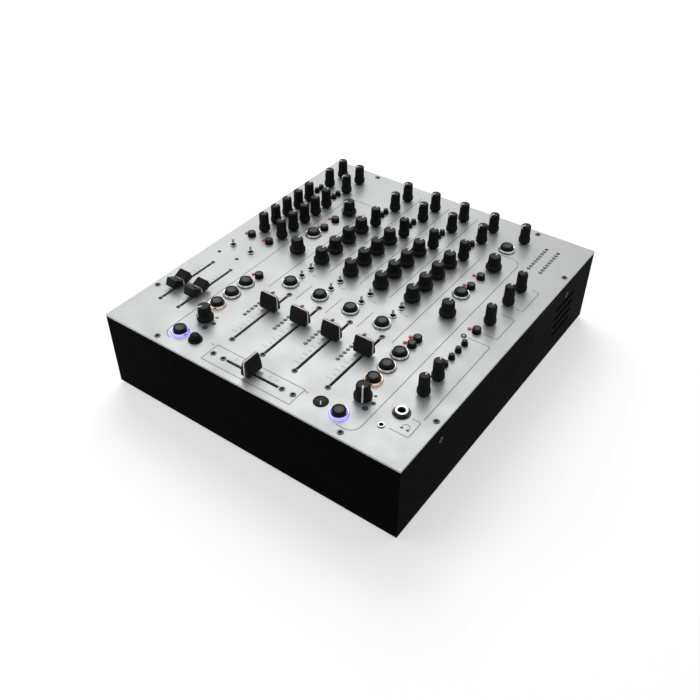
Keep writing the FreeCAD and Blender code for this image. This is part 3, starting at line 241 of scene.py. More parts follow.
def discs(spots, radius, z):
    """Flat round dots on the panel."""
    dot = turned([(radius, 0.0), (0.0, 0.0)], 20)
    return dot.placed([(x, y, z, 0.0) for x, y in spots])


def numerals(words, size, z):
    """Plain numbers lying on the panel, from (text, x, y) rows."""
    forms = []
    for text, x, y in words:
        letters = bpy.data.curves.new("numeral", "FONT")
        letters.body = text
        letters.size = size
        letters.align_x = "CENTER"
        letters.align_y = "CENTER"
        holder = bpy.data.objects.new("numeral", letters)
        mesh = bpy.data.meshes.new_from_object(holder)
        mesh.calc_loop_triangles()
        points = np.zeros(len(mesh.vertices) * 3)
        mesh.vertices.foreach_get("co", points)
        tris = np.zeros(len(mesh.loop_triangles) * 3, int)
        mesh.loop_triangles.foreach_get("vertices", tris)
        forms.append(Form(points.reshape(-1, 3) + (x, y, z), np.zeros((0, 4), int),
                          tris.reshape(-1, 3), np.zeros(0, int), np.zeros(len(tris) // 3, int)))
        bpy.data.objects.remove(holder)
        bpy.data.curves.remove(letters)
        bpy.data.meshes.remove(mesh)
    return joined(*forms)


def linked(name, data):
    """An object in the scene's collection."""
    item = bpy.data.objects.new(name, data)
    bpy.context.scene.collection.objects.link(item)
    return item


def piece(name, form, finishes, stands_for=(), body=SCENE_BODY, closed=True):
    """A mesh object from a form in millimetres, riding on a body of the frame."""
    mesh = bpy.data.meshes.new(name)
    mesh.from_pydata((form.points * MM).tolist(), [], form.quads.tolist() + form.tris.tolist())
    for item in finishes:
        mesh.materials.append(item)
    mesh.polygons.foreach_set("material_index", np.concatenate([form.quad_finish, form.tri_finish]))
    if closed:
        shell = bmesh.new()
        shell.from_mesh(mesh)
        bmesh.ops.recalc_face_normals(shell, faces=shell.faces)
        shell.to_mesh(mesh)
        shell.free()
    mesh.shade_smooth()
    mesh.set_sharp_from_angle(angle=CREASE)
    item = linked(name, mesh)
    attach(item, body)
    if stands_for:
        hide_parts(*stands_for)


# Finishes


def filled(node, values):
    """A shader node with its inputs set from a table."""
    for key, value in values.items():
        node.inputs[key].default_value = value
    return node


def finish(name, base, rough, metal=0.0, grain=900.0, tone=0.12, relief=0.02, smudge=0.08,
           coat=0.0, shine=0.5, glow=None, glow_strength=0.0):
    """A shader whose grain tints the colour, varies the gloss and lifts the surface."""
    found = bpy.data.materials.get(name)
    if found:
        return found
    made = bpy.data.materials.new(name)
    made.use_nodes = True
    tree = made.node_tree
    new, link = tree.nodes.new, tree.links.new
    shader = filled(tree.nodes["Principled BSDF"],
                    {"Metallic": metal, "Coat Weight": coat, "Specular IOR Level": shine})
    if glow:
        filled(shader, {"Emission Color": (*glow, 1.0), "Emission Strength": glow_strength})
    place = new("ShaderNodeTexCoord")
    coarser = 40.0
    fine = filled(new("ShaderNodeTexNoise"), {"Scale": grain, "Detail": 3.0})
    broad = filled(new("ShaderNodeTexNoise"), {"Scale": grain / coarser, "Detail": 4.0})
    tint = new("ShaderNodeMix")
    tint.data_type = "RGBA"
    filled(tint, {6: (*[c * (1.0 - tone) for c in base], 1.0),
                  7: (*[min(1.0, c * (1.0 + tone)) for c in base], 1.0)})
    gloss = filled(new("ShaderNodeMapRange"),
                   {"From Min": 0.3, "From Max": 0.7, "To Min": max(0.02, rough - smudge),
                    "To Max": min(1.0, rough + smudge)})
    bump = filled(new("ShaderNodeBump"),
                  {"Strength": min(1.0, relief * 10.0), "Distance": relief * MM})
    for node in (fine, broad):
        link(place.outputs["Object"], node.inputs["Vector"])
    link(fine.outputs["Fac"], tint.inputs[0])
    link(tint.outputs[2], shader.inputs["Base Color"])
    link(broad.outputs["Fac"], gloss.inputs["Value"])
    link(gloss.outputs["Result"], shader.inputs["Roughness"])
    link(fine.outputs["Fac"], bump.inputs["Height"])
    link(bump.outputs["Normal"], shader.inputs["Normal"])
    return made


def colours():
    return bpy.context.scene.mixer_colours


def sizes():
    return bpy.context.scene.mixer_sizes


def rubber():
    return finish("soft_touch_black", colours().rubber, 0.45, relief=0.03, grain=1600.0, shine=0.1)


def cap_grey():
    return finish("cap_top_grey", colours().cap_top, 0.35, relief=0.01, shine=0.25)


def knob_top():
    base = [0.45 * c for c in colours().cap_top]
    return finish("knob_top_grey", base, 0.4, relief=0.01, shine=0.15)


def white_line():
    return finish("pointer_white", colours().line, 0.5, tone=0.04, relief=0.01)


def chrome():
    return finish("polished_chrome", colours().chrome, 0.12, metal=1.0, tone=0.03, relief=0.004,
                  smudge=0.05)


def plating(name, base):
    return finish(name, base, 0.2, metal=1.0, tone=0.05, relief=0.004)


def nut_black():
    return finish("nut_black", (0.03, 0.03, 0.032), 0.3, metal=0.7)


# Near-black inside holes: painted shade in the screw sockets, the lever nut bores and on the fader
# tracks under the slots; in the sockets' bores, their dark inserts together with painted shade
def hole_black_and_shade():
    return finish("hole_black_and_painted_shade", (0.004, 0.004, 0.004), 0.6)


def moulded():
    return finish("moulded_black", (0.007, 0.007, 0.0075), 0.38, relief=0.03, grain=1300.0,
                  shine=0.12)


# Columns and rows, in millimetres from the middle of the panel


CHANNELS = -50.0 + 35.0 * np.arange(4)
STRIPS = -132.2 + 23.0 * np.arange(2)
LEVEL_SHIFT, LEVER_SHIFT, FADER_SHIFT, METER_SHIFT = 5.0, -1.7, 6.8, -7.7
GAIN_Y, SEND_Y, TRIM_Y = 150.0, 125.0, 88.0
STRIP_ROWS = TRIM_Y - 18.9 * np.arange(5)
BUTTON_ROWS = np.array([37.0, -68.5, -88.5, -108.5, -157.0])
LEFT_BUTTON_X, RIGHT_BUTTON_X, TALK_Y = -87.6, 87.0, 129.0
MINI_ROWS = (115.2, 107.4)
LAMP_BUTTON_ROWS = (70.5, 51.5, -53.0)
OUTPUT_X, OUTPUT_ROWS, OUTPUT_BUTTON_X = 130.0, (74.0, 49.0, 13.7, -76.5, -99.0), 126.0
METER_ROWS = -64.5 - 5.0 * np.arange(9)
MAIN_METER_X, MAIN_METER_ROWS = (119.5, 132.0), 153.0 - 5.0 * np.arange(9)
LEVER_ROWS = (-13.7, -28.0)
FADER_Y, FADER_SPAN, FADER_TRAVEL = -98.0, 80.0, 60.0
INPUT_FADER_Y, INPUT_FADER_SPAN, INPUT_TRAVEL = -96.7, 71.5, 50.0
INPUT_FADER_SHIFT = -5.0
CROSS_Y, CROSS_TRAVEL = -161.7, 45.0
CROSS_BOX_X, CROSS_BOX_Y = 48.3, 10.65
LAMP_REACH = 7.1
PHONES_SPOT, MINI_PHONES_SPOT = (127.0, -127.0), (121.5, -148.0)
# On the back wall, across and up from the table
BACK_ROWS = (25.0, 44.0)
PHONO_COLUMNS = -20.0 + 16.0 * np.arange(8)
LINE_COLUMNS = (-58.0, -38.0)
BALANCED_SPOTS, INLET_SPOT = ((-104.0, 50.0), (-134.0, 50.0)), (132.0, 42.0)


def on_panel(columns, rows, turn=0.0):
    """A spot (x, y, z, turn) on the panel for every column and row."""
    x, y = np.meshgrid(columns, rows)
    return np.column_stack([x.ravel(), y.ravel(), np.full(x.size, PANEL_TOP), np.full(x.size, turn)])


def span(middle, width):
    """Both ends of a span about its middle."""
    return middle - width / 2.0, middle + width / 2.0


def nodes(*starts):
    """The frame's nodes whose names begin with one of the starts, by name."""
    return [node for node in sorted(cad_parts) if node.startswith(starts)]


def centre(node, turn=0.0):
    """The spot on the panel under the middle of a node of the frame."""
    low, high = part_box(node)
    return [((low.x + high.x) / 2.0 / MM, (low.y + high.y) / 2.0 / MM, PANEL_TOP, turn)]


def level_spots():
    """Every slim knob: those at the back and the sends stand at their stop."""
    return np.concatenate([
        on_panel(STRIPS, (GAIN_Y, SEND_Y), TURN_STOP), on_panel(STRIPS, STRIP_ROWS),
        on_panel(CHANNELS + LEVEL_SHIFT, (GAIN_Y, SEND_Y), TURN_STOP),
        on_panel(CHANNELS + LEVEL_SHIFT, (TRIM_Y,)), on_panel((95.5,), (GAIN_Y,), TURN_STOP),
        on_panel((OUTPUT_X,), OUTPUT_ROWS)])


def cue_spots():
    return on_panel(CHANNELS - 3.4, (-43.4,))


def side_spots(side):
    if side == "left":
        return on_panel((LEFT_BUTTON_X,), BUTTON_ROWS)
    return on_panel((RIGHT_BUTTON_X,), np.append(TALK_Y, BUTTON_ROWS))


def lamp_button_spots():
    return np.concatenate([
        on_panel(STRIPS - 5.3, (-2.0,)), on_panel((-84.4,), LAMP_BUTTON_ROWS),
        on_panel((89.5,), (*LAMP_BUTTON_ROWS, -43.6)), on_panel((OUTPUT_BUTTON_X,), (-3.0,))])


def mini_spots():
    return np.concatenate([
        on_panel(STRIPS - 4.5, MINI_ROWS), on_panel(CHANNELS - 0.3, MINI_ROWS),
        on_panel((OUTPUT_BUTTON_X,), -24.5 - 11.2 * np.arange(4))])


def lever_spots():
    return np.concatenate([on_panel(CHANNELS + LEVER_SHIFT, LEVER_ROWS),
                           on_panel(STRIPS - 8.8, (-26.5,))])


# Controls


def wide_knob():
    """A bell skirt under a ribbed cone with a grey top, and a white line from top to skirt."""
    size = sizes()
    skirt, top = size.wide_skirt, size.wide_height
    neck = bend((skirt - 0.25, 6.2), (6.3, 9.1), -0.6)
    cone = np.linspace((6.15, 9.7), (5.75, top - 1.0), 6)
    rows = [(0.0, -1.0), (3.0, -1.0), (3.0, 2.5), (skirt - 0.35, 2.5), (skirt, 2.85), (skirt, 5.9)]
    rows += neck.tolist()
    rows += [(r, z, 0, 0.03) for r, z in cone]
    rows += [(5.5, top - 0.4, 0, 0.012), (5.05, top - 0.06)]
    rows += shaded(1, (4.55, top - 0.12), (2.4, top - 0.3), (0.0, top - 0.35))
    line = np.concatenate([[(1.7, top - 0.31), (4.55, top - 0.1), (5.25, top - 0.2)],
                           np.flip(cone, axis=0) + (0.16, 0.0), np.flip(neck, axis=0), [(skirt, 3.4)]])
    return joined(turned(rows, 96, 24), ribbon(np.flip(line, axis=0), size.pointer_width, 0.1, 2))


def slim_knob():
    """A fluted grip on a scalloped foot, with a white notch across the rim."""
    size = sizes()
    skirt, top = size.slim_skirt, size.slim_height
    grip = np.linspace((4.85, 8.2), (4.65, top - 1.0), 6)
    rows = [(0.0, -1.0), (3.0, -1.0), (3.0, 2.5), (skirt - 0.2, 2.5, 0, 0.02), (skirt, 2.8, 0, 0.03),
            (skirt, 6.7, 0, 0.03), (skirt - 0.15, 7.1, 0, 0.02), (4.95, 7.5, 0, 0.01)]
    rows += [(r, z, 0, 0.045) for r, z in grip]
    rows += [(4.4, top - 0.4, 0, 0.02), (3.9, top - 0.05), (3.4, top, 1), (0.0, top - 0.1, 1)]
    line = [(4.82, top - 3.2), (4.82, top - 1.0), (4.5, top - 0.35), (3.9, top), (1.2, top - 0.05)]
    return joined(turned(rows, 72, 18), ribbon(line, size.pointer_width, 0.06, 2))


def knob_finishes():
    return [rubber(), knob_top(), white_line()]


class MIXER_OT_wide_knobs(bpy.types.Operator):
    """Make the equaliser and filter knobs, each on its own body"""
    bl_idname = "mixer.wide_knobs"
    bl_label = "Wide knobs"

    def execute(self, context):
        form = wide_knob()
        turns = {"filter_knob_left_mode": TURN_STOP, "filter_knob_left_sweep": TURN_STOP,
                 "filter_knob_right_sweep": -TURN_STOP}
        for node in nodes("eq_knob", "filter_knob"):
            spot = centre(node, turns.get(node, 0.0))
            piece(node + "_cap", form.placed(spot), knob_finishes(), (node,), node)
        return {"FINISHED"}


class MIXER_OT_slim_knobs(bpy.types.Operator):
    """Make the slim level knobs"""
    bl_idname = "mixer.slim_knobs"
    bl_label = "Slim knobs"

    def execute(self, context):
        piece("level_knob_caps", slim_knob().placed(level_spots()), knob_finishes(),
              ("level_knobs",))
        return {"FINISHED"}


class MIXER_OT_selector(bpy.types.Operator):
    """Make the flush curve selector with its white slot"""
    bl_idname = "mixer.selector"
    bl_label = "Curve selector"

    def execute(self, context):
        rest_turn = 35.0
        disc = turned([(0.0, -3.0), (6.3, -3.0), (6.3, 0.5), (6.1, 0.8), (5.7, 0.8), (5.45, 0.35),
                       (5.15, 0.35), (4.9, 0.7), (4.5, 0.85), (0.0, 0.9)])
        slot = ribbon([(-4.4, 0.87), (0.0, 0.89)], 0.9, 0.03, 1)
        spot = centre("curve_selector", rest_turn)
        piece("curve_selector_disc", joined(disc, slot).placed(spot), [moulded(), white_line()],
              ("curve_selector",), "curve_selector")
        return {"FINISHED"}


def large_cap():
    """A black cap with a rounded shoulder and a grey dished top."""
    size = sizes()
    wall, top = size.cap_radius, size.cap_height
    shoulder = bend((wall, top - 1.3), (wall - 1.2, top), 0.32, 5)
    rows = [(0.0, STEM_FOOT), (wall, STEM_FOOT), *shoulder, (4.55, top - 0.02)]
    dish = shaded(1, (4.35, top - 0.25), (3.7, top - 0.48), (2.0, top - 0.62), (0.0, top - 0.66))
    return turned(rows + dish, 64)


class MIXER_OT_large_buttons(bpy.types.Operator):
    """Make the large caps inside the lit rings"""
    bl_idname = "mixer.large_buttons"
    bl_label = "Large buttons"

    def execute(self, context):
        groups = {"cue_buttons": cue_spots(), "left_filter_buttons": side_spots("left"),
                  "right_filter_buttons": side_spots("right")}
        for node, spots in groups.items():
            piece(node + "_caps", large_cap().placed(spots), [rubber(), cap_grey()],
                  (node,), node)
        return {"FINISHED"}


class MIXER_OT_small_buttons(bpy.types.Operator):
    """Make the small caps: those beside a lamp, the tiny ones in their collars and the domed one"""
    bl_idname = "mixer.small_buttons"
    bl_label = "Small buttons"

    def execute(self, context):
        lamp_cap = turned([(0.0, STEM_FOOT), (4.1, STEM_FOOT), (4.1, 4.2), (3.85, 4.7), (3.4, 4.9),
                           (2.8, 4.8, 1), (0.0, 4.7, 1)], 40)
        mini_cap = turned([(0.0, STEM_FOOT), (2.5, STEM_FOOT), (2.5, 4.7), (2.3, 5.0),
                           (1.9, 5.15, 1), (0.0, 5.2, 1)], 36)
        collar = turned([(2.6, FLUSH), (3.1, FLUSH), (3.1, 1.8), (2.95, 2.1), (2.6, 2.2)], 36,
                        loop=True)
        piece("mini_button_collars", collar.placed(mini_spots()), [rubber()])
        dome = bend((4.9, 2.6), (0.0, 6.7), 1.8, 12)
        tap = turned([(0.0, STEM_FOOT), (4.9, STEM_FOOT), *dome], 48)
        groups = {"lamp_buttons": (lamp_cap, lamp_button_spots()),
                  "mini_buttons": (mini_cap, mini_spots()), "tap_button": (tap, centre("tap_button"))}
        for node, (form, spots) in groups.items():
            piece(node + "_caps", form.placed(spots), [rubber(), cap_grey()],
                  (node,), node)
        return {"FINISHED"}


class MIXER_OT_rings(bpy.types.Operator):
    """Make the rings round the large buttons: clear, amber lit and violet lit, a clear ring with
    painted shade on its inner wall and on a band low on its outer wall
    """
    bl_idname = "mixer.rings"
    bl_label = "Button rings"

    def execute(self, context):
        outer = sizes().ring_radius
        # Finish 1 runs over the foot, a band low on the outer wall and the inner wall by the cap:
        # painted shade on a clear ring, and the lit inside on the amber and violet rings
        foot = shaded(1, (6.45, -3.9), (7.3, -3.9), (7.3, FLUSH), (outer - 0.1, FLUSH), (outer, 0.35))
        lens = [(outer, 0.9), (outer - 0.2, 1.5), (8.0, 2.4), (7.7, 2.6), (7.2, 2.55)]
        ring = turned(foot + lens + shaded(1, (6.75, 2.2), (6.45, 1.6)), 64, loop=True)
        spots = np.concatenate([cue_spots(), side_spots("left"), side_spots("right")])
        row, amber, violet = spots[:, 1], BUTTON_ROWS[3], BUTTON_ROWS[4]
        shift = np.where(row == amber, 2, np.where(row == violet, 4, 0))
        small = turned(shaded(6, (5.3, -3.9), (6.15, -3.9), (6.15, FLUSH), (6.6, FLUSH), (6.55, 0.7),
                              (6.1, 1.7), (5.6, 2.2), (5.3, 2.1)), 56, loop=True)
        # The second finish is the clear rings' near-black painted shade
        lit = [finish("ring_clear", (0.55, 0.56, 0.57), 0.16, metal=0.85, tone=0.04, relief=0.004),
               finish("ring_painted_shade", (0.06, 0.06, 0.062), 0.4)]
        for name, base, glow, strength in (("amber", (0.74, 0.66, 0.58), (1.0, 0.36, 0.04), 0.05),
                                           ("violet", (0.62, 0.6, 0.95), (0.25, 0.2, 1.0), 0.3)):
            lit += [finish("ring_" + name, base, 0.14, metal=0.85, glow=glow, glow_strength=strength),
                    finish("ring_%s_inner" % name, base, 0.3, glow=glow, glow_strength=strength * 6.0)]
        form = joined(ring.placed(spots, shift), small.placed(centre("tap_button")))
        piece("button_ring_lenses", form, lit + [moulded()], ("button_rings",))
        return {"FINISHED"}


class MIXER_OT_levers(bpy.types.Operator):
    """Make the chrome bats of the lever switches and the nuts they stand in"""
    bl_idname = "mixer.levers"
    bl_label = "Lever switches"

    def execute(self, context):
        tip = bend((1.25, 6.9), (0.0, 8.0), 0.42, 7)
        bat = turned([(0.0, -4.0), (0.85, -4.0), (0.85, 0.4), (0.9, 1.2), (1.2, 5.6), *tip], 32)
        plated = plating("lever_plating", (0.4, 0.4, 0.41))
        spots, near = lever_spots(), 1.0
        for node in nodes("assign_levers", "input_lever"):
            own = spots[np.abs(spots[:, 0] - centre(node)[0][0]) < near]
            piece(node + "_bats", bat.placed(own), [plated], (node,), node)
        # The nut's bore round the bat is near-black painted shade
        nut = turned([(2.42, FLUSH, 1), (3.3, FLUSH), (3.3, 0.8, 2), (3.0, 1.15, 2), (2.7, 1.2),
                      (2.42, 1.0, 1)], 36, loop=True)
        piece("lever_nuts", nut.placed(spots), [nut_black(), hole_black_and_shade(), plated])
        return {"FINISHED"}


def ridge_line(rise, crest, width):
    """A white line across a fader cap, up a rise of (x, z) points, over the crest and down again."""
    over = [(-x, z) for x, z in rise] + [(0.0, crest)] + rise[::-1]
    return ribbon(over, width, 0.06, 1).swung(Matrix.Rotation(-math.pi / 2.0, 4, "Z"))


def wedge_cap():
    """A wide wedge with hollow flanks and rounded corners, and a white line over its ridge."""
    rows = [(0.0, 0.0, 9.0, 2.5), (8.1, 3.9, 9.0, 2.5), (8.8, 4.7, 9.0, 3.0), (9.0, 5.0, 9.0, 3.9)]
    flank = bend((5.0, 3.9), (1.7, 17.3), 0.6, 9)[1:]
    rows += [(9.0 - 0.15 * max(0.0, z - 15.5), y, 9.0, z) for y, z in flank]
    rows += [(8.5, 1.65, 9.0, 17.95), (8.1, 1.5, 8.0, 18.35), (7.6, 1.3, 7.0, 18.5),
             (0.0, 0.0, 7.0, 18.5)]
    rise = [(9.0, 4.1), (9.0, 15.5), (8.75, 17.3), (8.5, 17.95), (8.1, 18.38), (7.6, 18.52)]
    return joined(stacked(rows, 72), ridge_line(rise, 18.52, 1.3))


def saddle_cap():
    """A side profile with two humps carried across the slot, drawn in a little at its ends."""
    half, crest, valley = 6.0, 8.4, 8.2
    run = np.linspace(crest, -crest, 17)
    dip = np.stack([run, valley + 3.8 * (np.abs(run) / crest) ** 1.25], -1)
    side = np.array([(-7.0, 2.5), (7.0, 2.5), (11.3, 3.9), (11.75, 4.4), (11.8, 6.6), (11.5, 7.3),
                     (9.6, 11.3), (9.2, 11.8), (8.8, 12.0)])
    outline = np.concatenate([side, dip, side[:1:-1] * (-1.0, 1.0)])
    middle = np.array([0.0, 6.2])
    across = half * np.array([-1.0, -0.985, -0.94, -0.88, 0.0, 0.88, 0.94, 0.985, 1.0])
    scale = np.array([0.93, 0.96, 0.99, 1.0, 1.0, 1.0, 0.99, 0.96, 0.93])
    rings = middle + (outline - middle)[None] * scale[:, None, None]
    x = np.broadcast_to(across[:, None, None], rings.shape[:2] + (1,))
    grid = np.concatenate([x, rings], -1)
    ends = [np.repeat(np.array([[[w, *middle]]]), len(outline), axis=1) for w in (-half, half)]
    rise = [(half, 3.4), (half, valley - 0.8), (half - 0.3, valley - 0.05)]
    line = ridge_line(rise, valley + 0.02, 1.2)
    return joined(skin(np.concatenate([ends[0], grid, ends[1]]), 0), line)


class MIXER_OT_faders(bpy.types.Operator):
    """Make the fader caps and the steel tongues that carry them"""
    bl_idname = "mixer.faders"
    bl_label = "Faders"

    def execute(self, context):
        tongue = stacked(shaded(2, (0.0, 0.0, 12.0, -4.0), (0.7, 2.0, 12.0, -4.0),
                                (0.7, 2.0, 12.0, 4.5), (0.0, 0.0, 12.0, 4.5)), 24)
        steel = finish("tongue_steel", (0.3, 0.3, 0.3), 0.3, metal=1.0)
        finishes = [moulded(), white_line(), steel]
        for node in nodes("channel_fader_") + ["crossfader"] + nodes("input_fader_"):
            cap = saddle_cap() if node.startswith("input") else wedge_cap()
            spot = centre(node, 90.0 if node == "crossfader" else 0.0)
            piece(node + "_cap", joined(cap, tongue).placed(spot), finishes,
                  (node,), node)
        return {"FINISHED"}


class MIXER_OT_lamps(bpy.types.Operator):
    """Make the lamp lenses in their colours, each in a dark bezel"""
    bl_idname = "mixer.lamps"
    bl_label = "Lamps"

    def execute(self, context):
        dome = bend((1.45, 0.2), (0.0, 1.1), 0.28, 6)
        lens = turned([(0.0, -2.0), (1.45, -2.0), *dome], 24)
        bezel = turned([(1.46, 0.01), (1.95, 0.01), (1.85, 0.2), (1.46, 0.24)], 28, loop=True)
        meters = on_panel(CHANNELS + METER_SHIFT, METER_ROWS)
        mains = on_panel(MAIN_METER_X, MAIN_METER_ROWS)
        beside = lamp_button_spots() - (LAMP_REACH, 0.0, 0.0, 0.0)
        status = on_panel(STRIPS - 12.8, (-43.0,))
        mute = on_panel((MAIN_METER_X[0],), (-14.5,))
        small = np.concatenate([meters, mains, status, mute])
        red, green, deep, pale, unlit, dark = range(6)
        shift = np.concatenate([
            np.where(meters[:, 1] == METER_ROWS[0], red, green),
            np.where(mains[:, 1] == MAIN_METER_ROWS[0], red, green),
            [unlit] * len(status) + [pale]])
        table = {"red": ((0.3, 0.03, 0.02), 0.25), "green": ((0.2, 0.33, 0.18), 0.08),
                 "deep_red": ((0.42, 0.012, 0.012), 0.35),
                 "pale": ((0.68, 0.69, 0.67), 0.1), "unlit": ((0.03, 0.012, 0.012), 0.0)}
        lenses = [finish("lens_" + name, base, 0.12, coat=0.6, glow=base, glow_strength=strength,
                         relief=0.004) for name, (base, strength) in table.items()]
        wide = turned([(0.0, -2.0), (1.45, -2.0), (1.45, FLUSH), (1.95, FLUSH), (1.95, 0.4), (1.6, 1.0),
                       (0.9, 1.35), (0.0, 1.45)], 28)
        rim = turned([(1.96, 0.01), (2.6, 0.01), (2.6, 0.5), (2.4, 0.75), (1.96, 0.6)], 32, loop=True)
        form = joined(lens.placed(small, shift), bezel.placed(small, dark), wide.placed(beside, deep),
                      rim.placed(mute, dark))
        piece("lamp_lenses", form, lenses + [moulded()], ("indicator_lamps",))
        return {"FINISHED"}


def screw_spots():
    """Screws in the panel's edge, at the fader ends and in the crossfader plate."""
    sides = on_panel((-154.5, 154.5), (-119.0, 119.0))
    rims = on_panel((-100.0, 100.0), (-173.0, 173.0))
    faders = on_panel(CHANNELS + FADER_SHIFT, span(FADER_Y, FADER_SPAN))
    cross = on_panel((-43.75, -32.25, 32.25, 43.75), (CROSS_Y,))
    return np.concatenate([sides, rims, faders, cross])


class MIXER_OT_screws(bpy.types.Operator):
    """Make the socket-head screws of the panel and the side walls"""
    bl_idname = "mixer.screws"
    bl_label = "Screws"

    def execute(self, context):
        shank = [(0.0, -3.0), (1.5, -3.0), (1.5, FLUSH)]
        head = shank + [(2.8, FLUSH), (2.8, 0.3), (2.35, 0.58), (1.65, 0.6)]
        # Finish 1, the socket recess, is near-black painted shade
        head += shaded(1, (1.5, 0.5), (1.4, -0.7), (0.0, -0.7))
        dark = turned(shaded(2, *[row[:2] for row in head]), 36)
        steel = finish("screw_bright", (0.08, 0.08, 0.08), 0.28, metal=1.0, tone=0.06)
        half, row, height = 160.0, 119.0, 66.5
        walls = []
        for side in (-1.0, 1.0):
            swing = Matrix.Rotation(side * math.pi / 2.0, 4, "Y")
            for y in (-row, row):
                walls.append(dark.swung(Matrix.Translation((side * half, y, height)) @ swing))
        black = finish("screw_black", (0.02, 0.02, 0.02), 0.3, metal=0.6)
        inputs = on_panel(STRIPS + INPUT_FADER_SHIFT, span(INPUT_FADER_Y, INPUT_FADER_SPAN))
        slight = turned(shank + [(2.0, FLUSH), (2.0, 0.3), (1.7, 0.5)]
                        + shaded(1, (1.2, 0.5), (1.1, -0.4), (0.0, -0.4)), 32)
        heads = joined(turned(head, 36).placed(screw_spots()), slight.placed(inputs), *walls)
        piece("screw_heads", heads, [steel, hole_black_and_shade(), black], ("case_screws",))
        return {"FINISHED"}


class MIXER_OT_phones(bpy.types.Operator):
    """Make the two headphone sockets with their washer and nut"""
    bl_idname = "mixer.phones"
    bl_label = "Headphone sockets"

    def execute(self, context):
        steps, bore, half_flat, nut_turn = 72, 5.45, 6.06, 12.0
        large = turned(shaded(1, (0.0, -27.0), (5.4, -27.0)) + [(5.4, 3.2), (5.1, 3.6), (3.9, 3.6)]
                       + shaded(1, (3.4, 3.2), (3.2, -4.0), (3.2, -25.5), (0.0, -25.5)), steps)
        washer = turned(shaded(2, (bore, FLUSH), (7.8, FLUSH), (7.8, 0.6), (7.55, 0.8), (bore, 0.8)),
                        steps, loop=True)
        angle = np.linspace(0.0, 2.0 * np.pi, steps, endpoint=False)
        way = np.stack([np.cos(angle), np.sin(angle)], -1)
        flat = half_flat / np.cos((angle + np.pi / 6.0) % (np.pi / 3.0) - np.pi / 6.0)
        outline, hole = flat[:, None] * way, bore * way
        rings = ((outline, 0.8), (outline, 2.0), (outline * 0.95, 2.4), (hole, 2.4), (hole, 0.8))
        grid = [np.column_stack([ring, np.full(steps, height)]) for ring, height in rings]
        nut = skin(np.stack(grid), 2, True)
        small = turned(shaded(1, (0.0, -14.0), (2.9, -14.0))
                       + [(2.9, 0.5, 2), (2.9, 0.9), (2.7, 1.2), (2.2, 1.2)]
                       + shaded(1, (2.05, 1.0), (1.8, 0.5), (1.8, -13.0), (0.0, -13.0)), 48)
        form = joined(joined(large, washer, nut).placed([(*PHONES_SPOT, PANEL_TOP, nut_turn)]),
                      small.placed([(*MINI_PHONES_SPOT, PANEL_TOP, 0.0)]))
        bright = plating("nut_plating", (0.6, 0.6, 0.61))
        piece("phones_socket_nuts", form, [bright, hole_black_and_shade(), nut_black()],
              ("phones_jacks",))
        return {"FINISHED"}


# Back wall


def on_back(form, spots):
    """Copies of a form drawn about Z, pointing out of the back wall at (x, height) spots."""
    out = Matrix.Translation((0.0, REAR_WALL, 0.0)) @ Matrix.Rotation(-math.pi / 2.0, 4, "X")
    return form.placed([(x, -z, 0.0, 0.0) for x, z in spots]).swung(out)


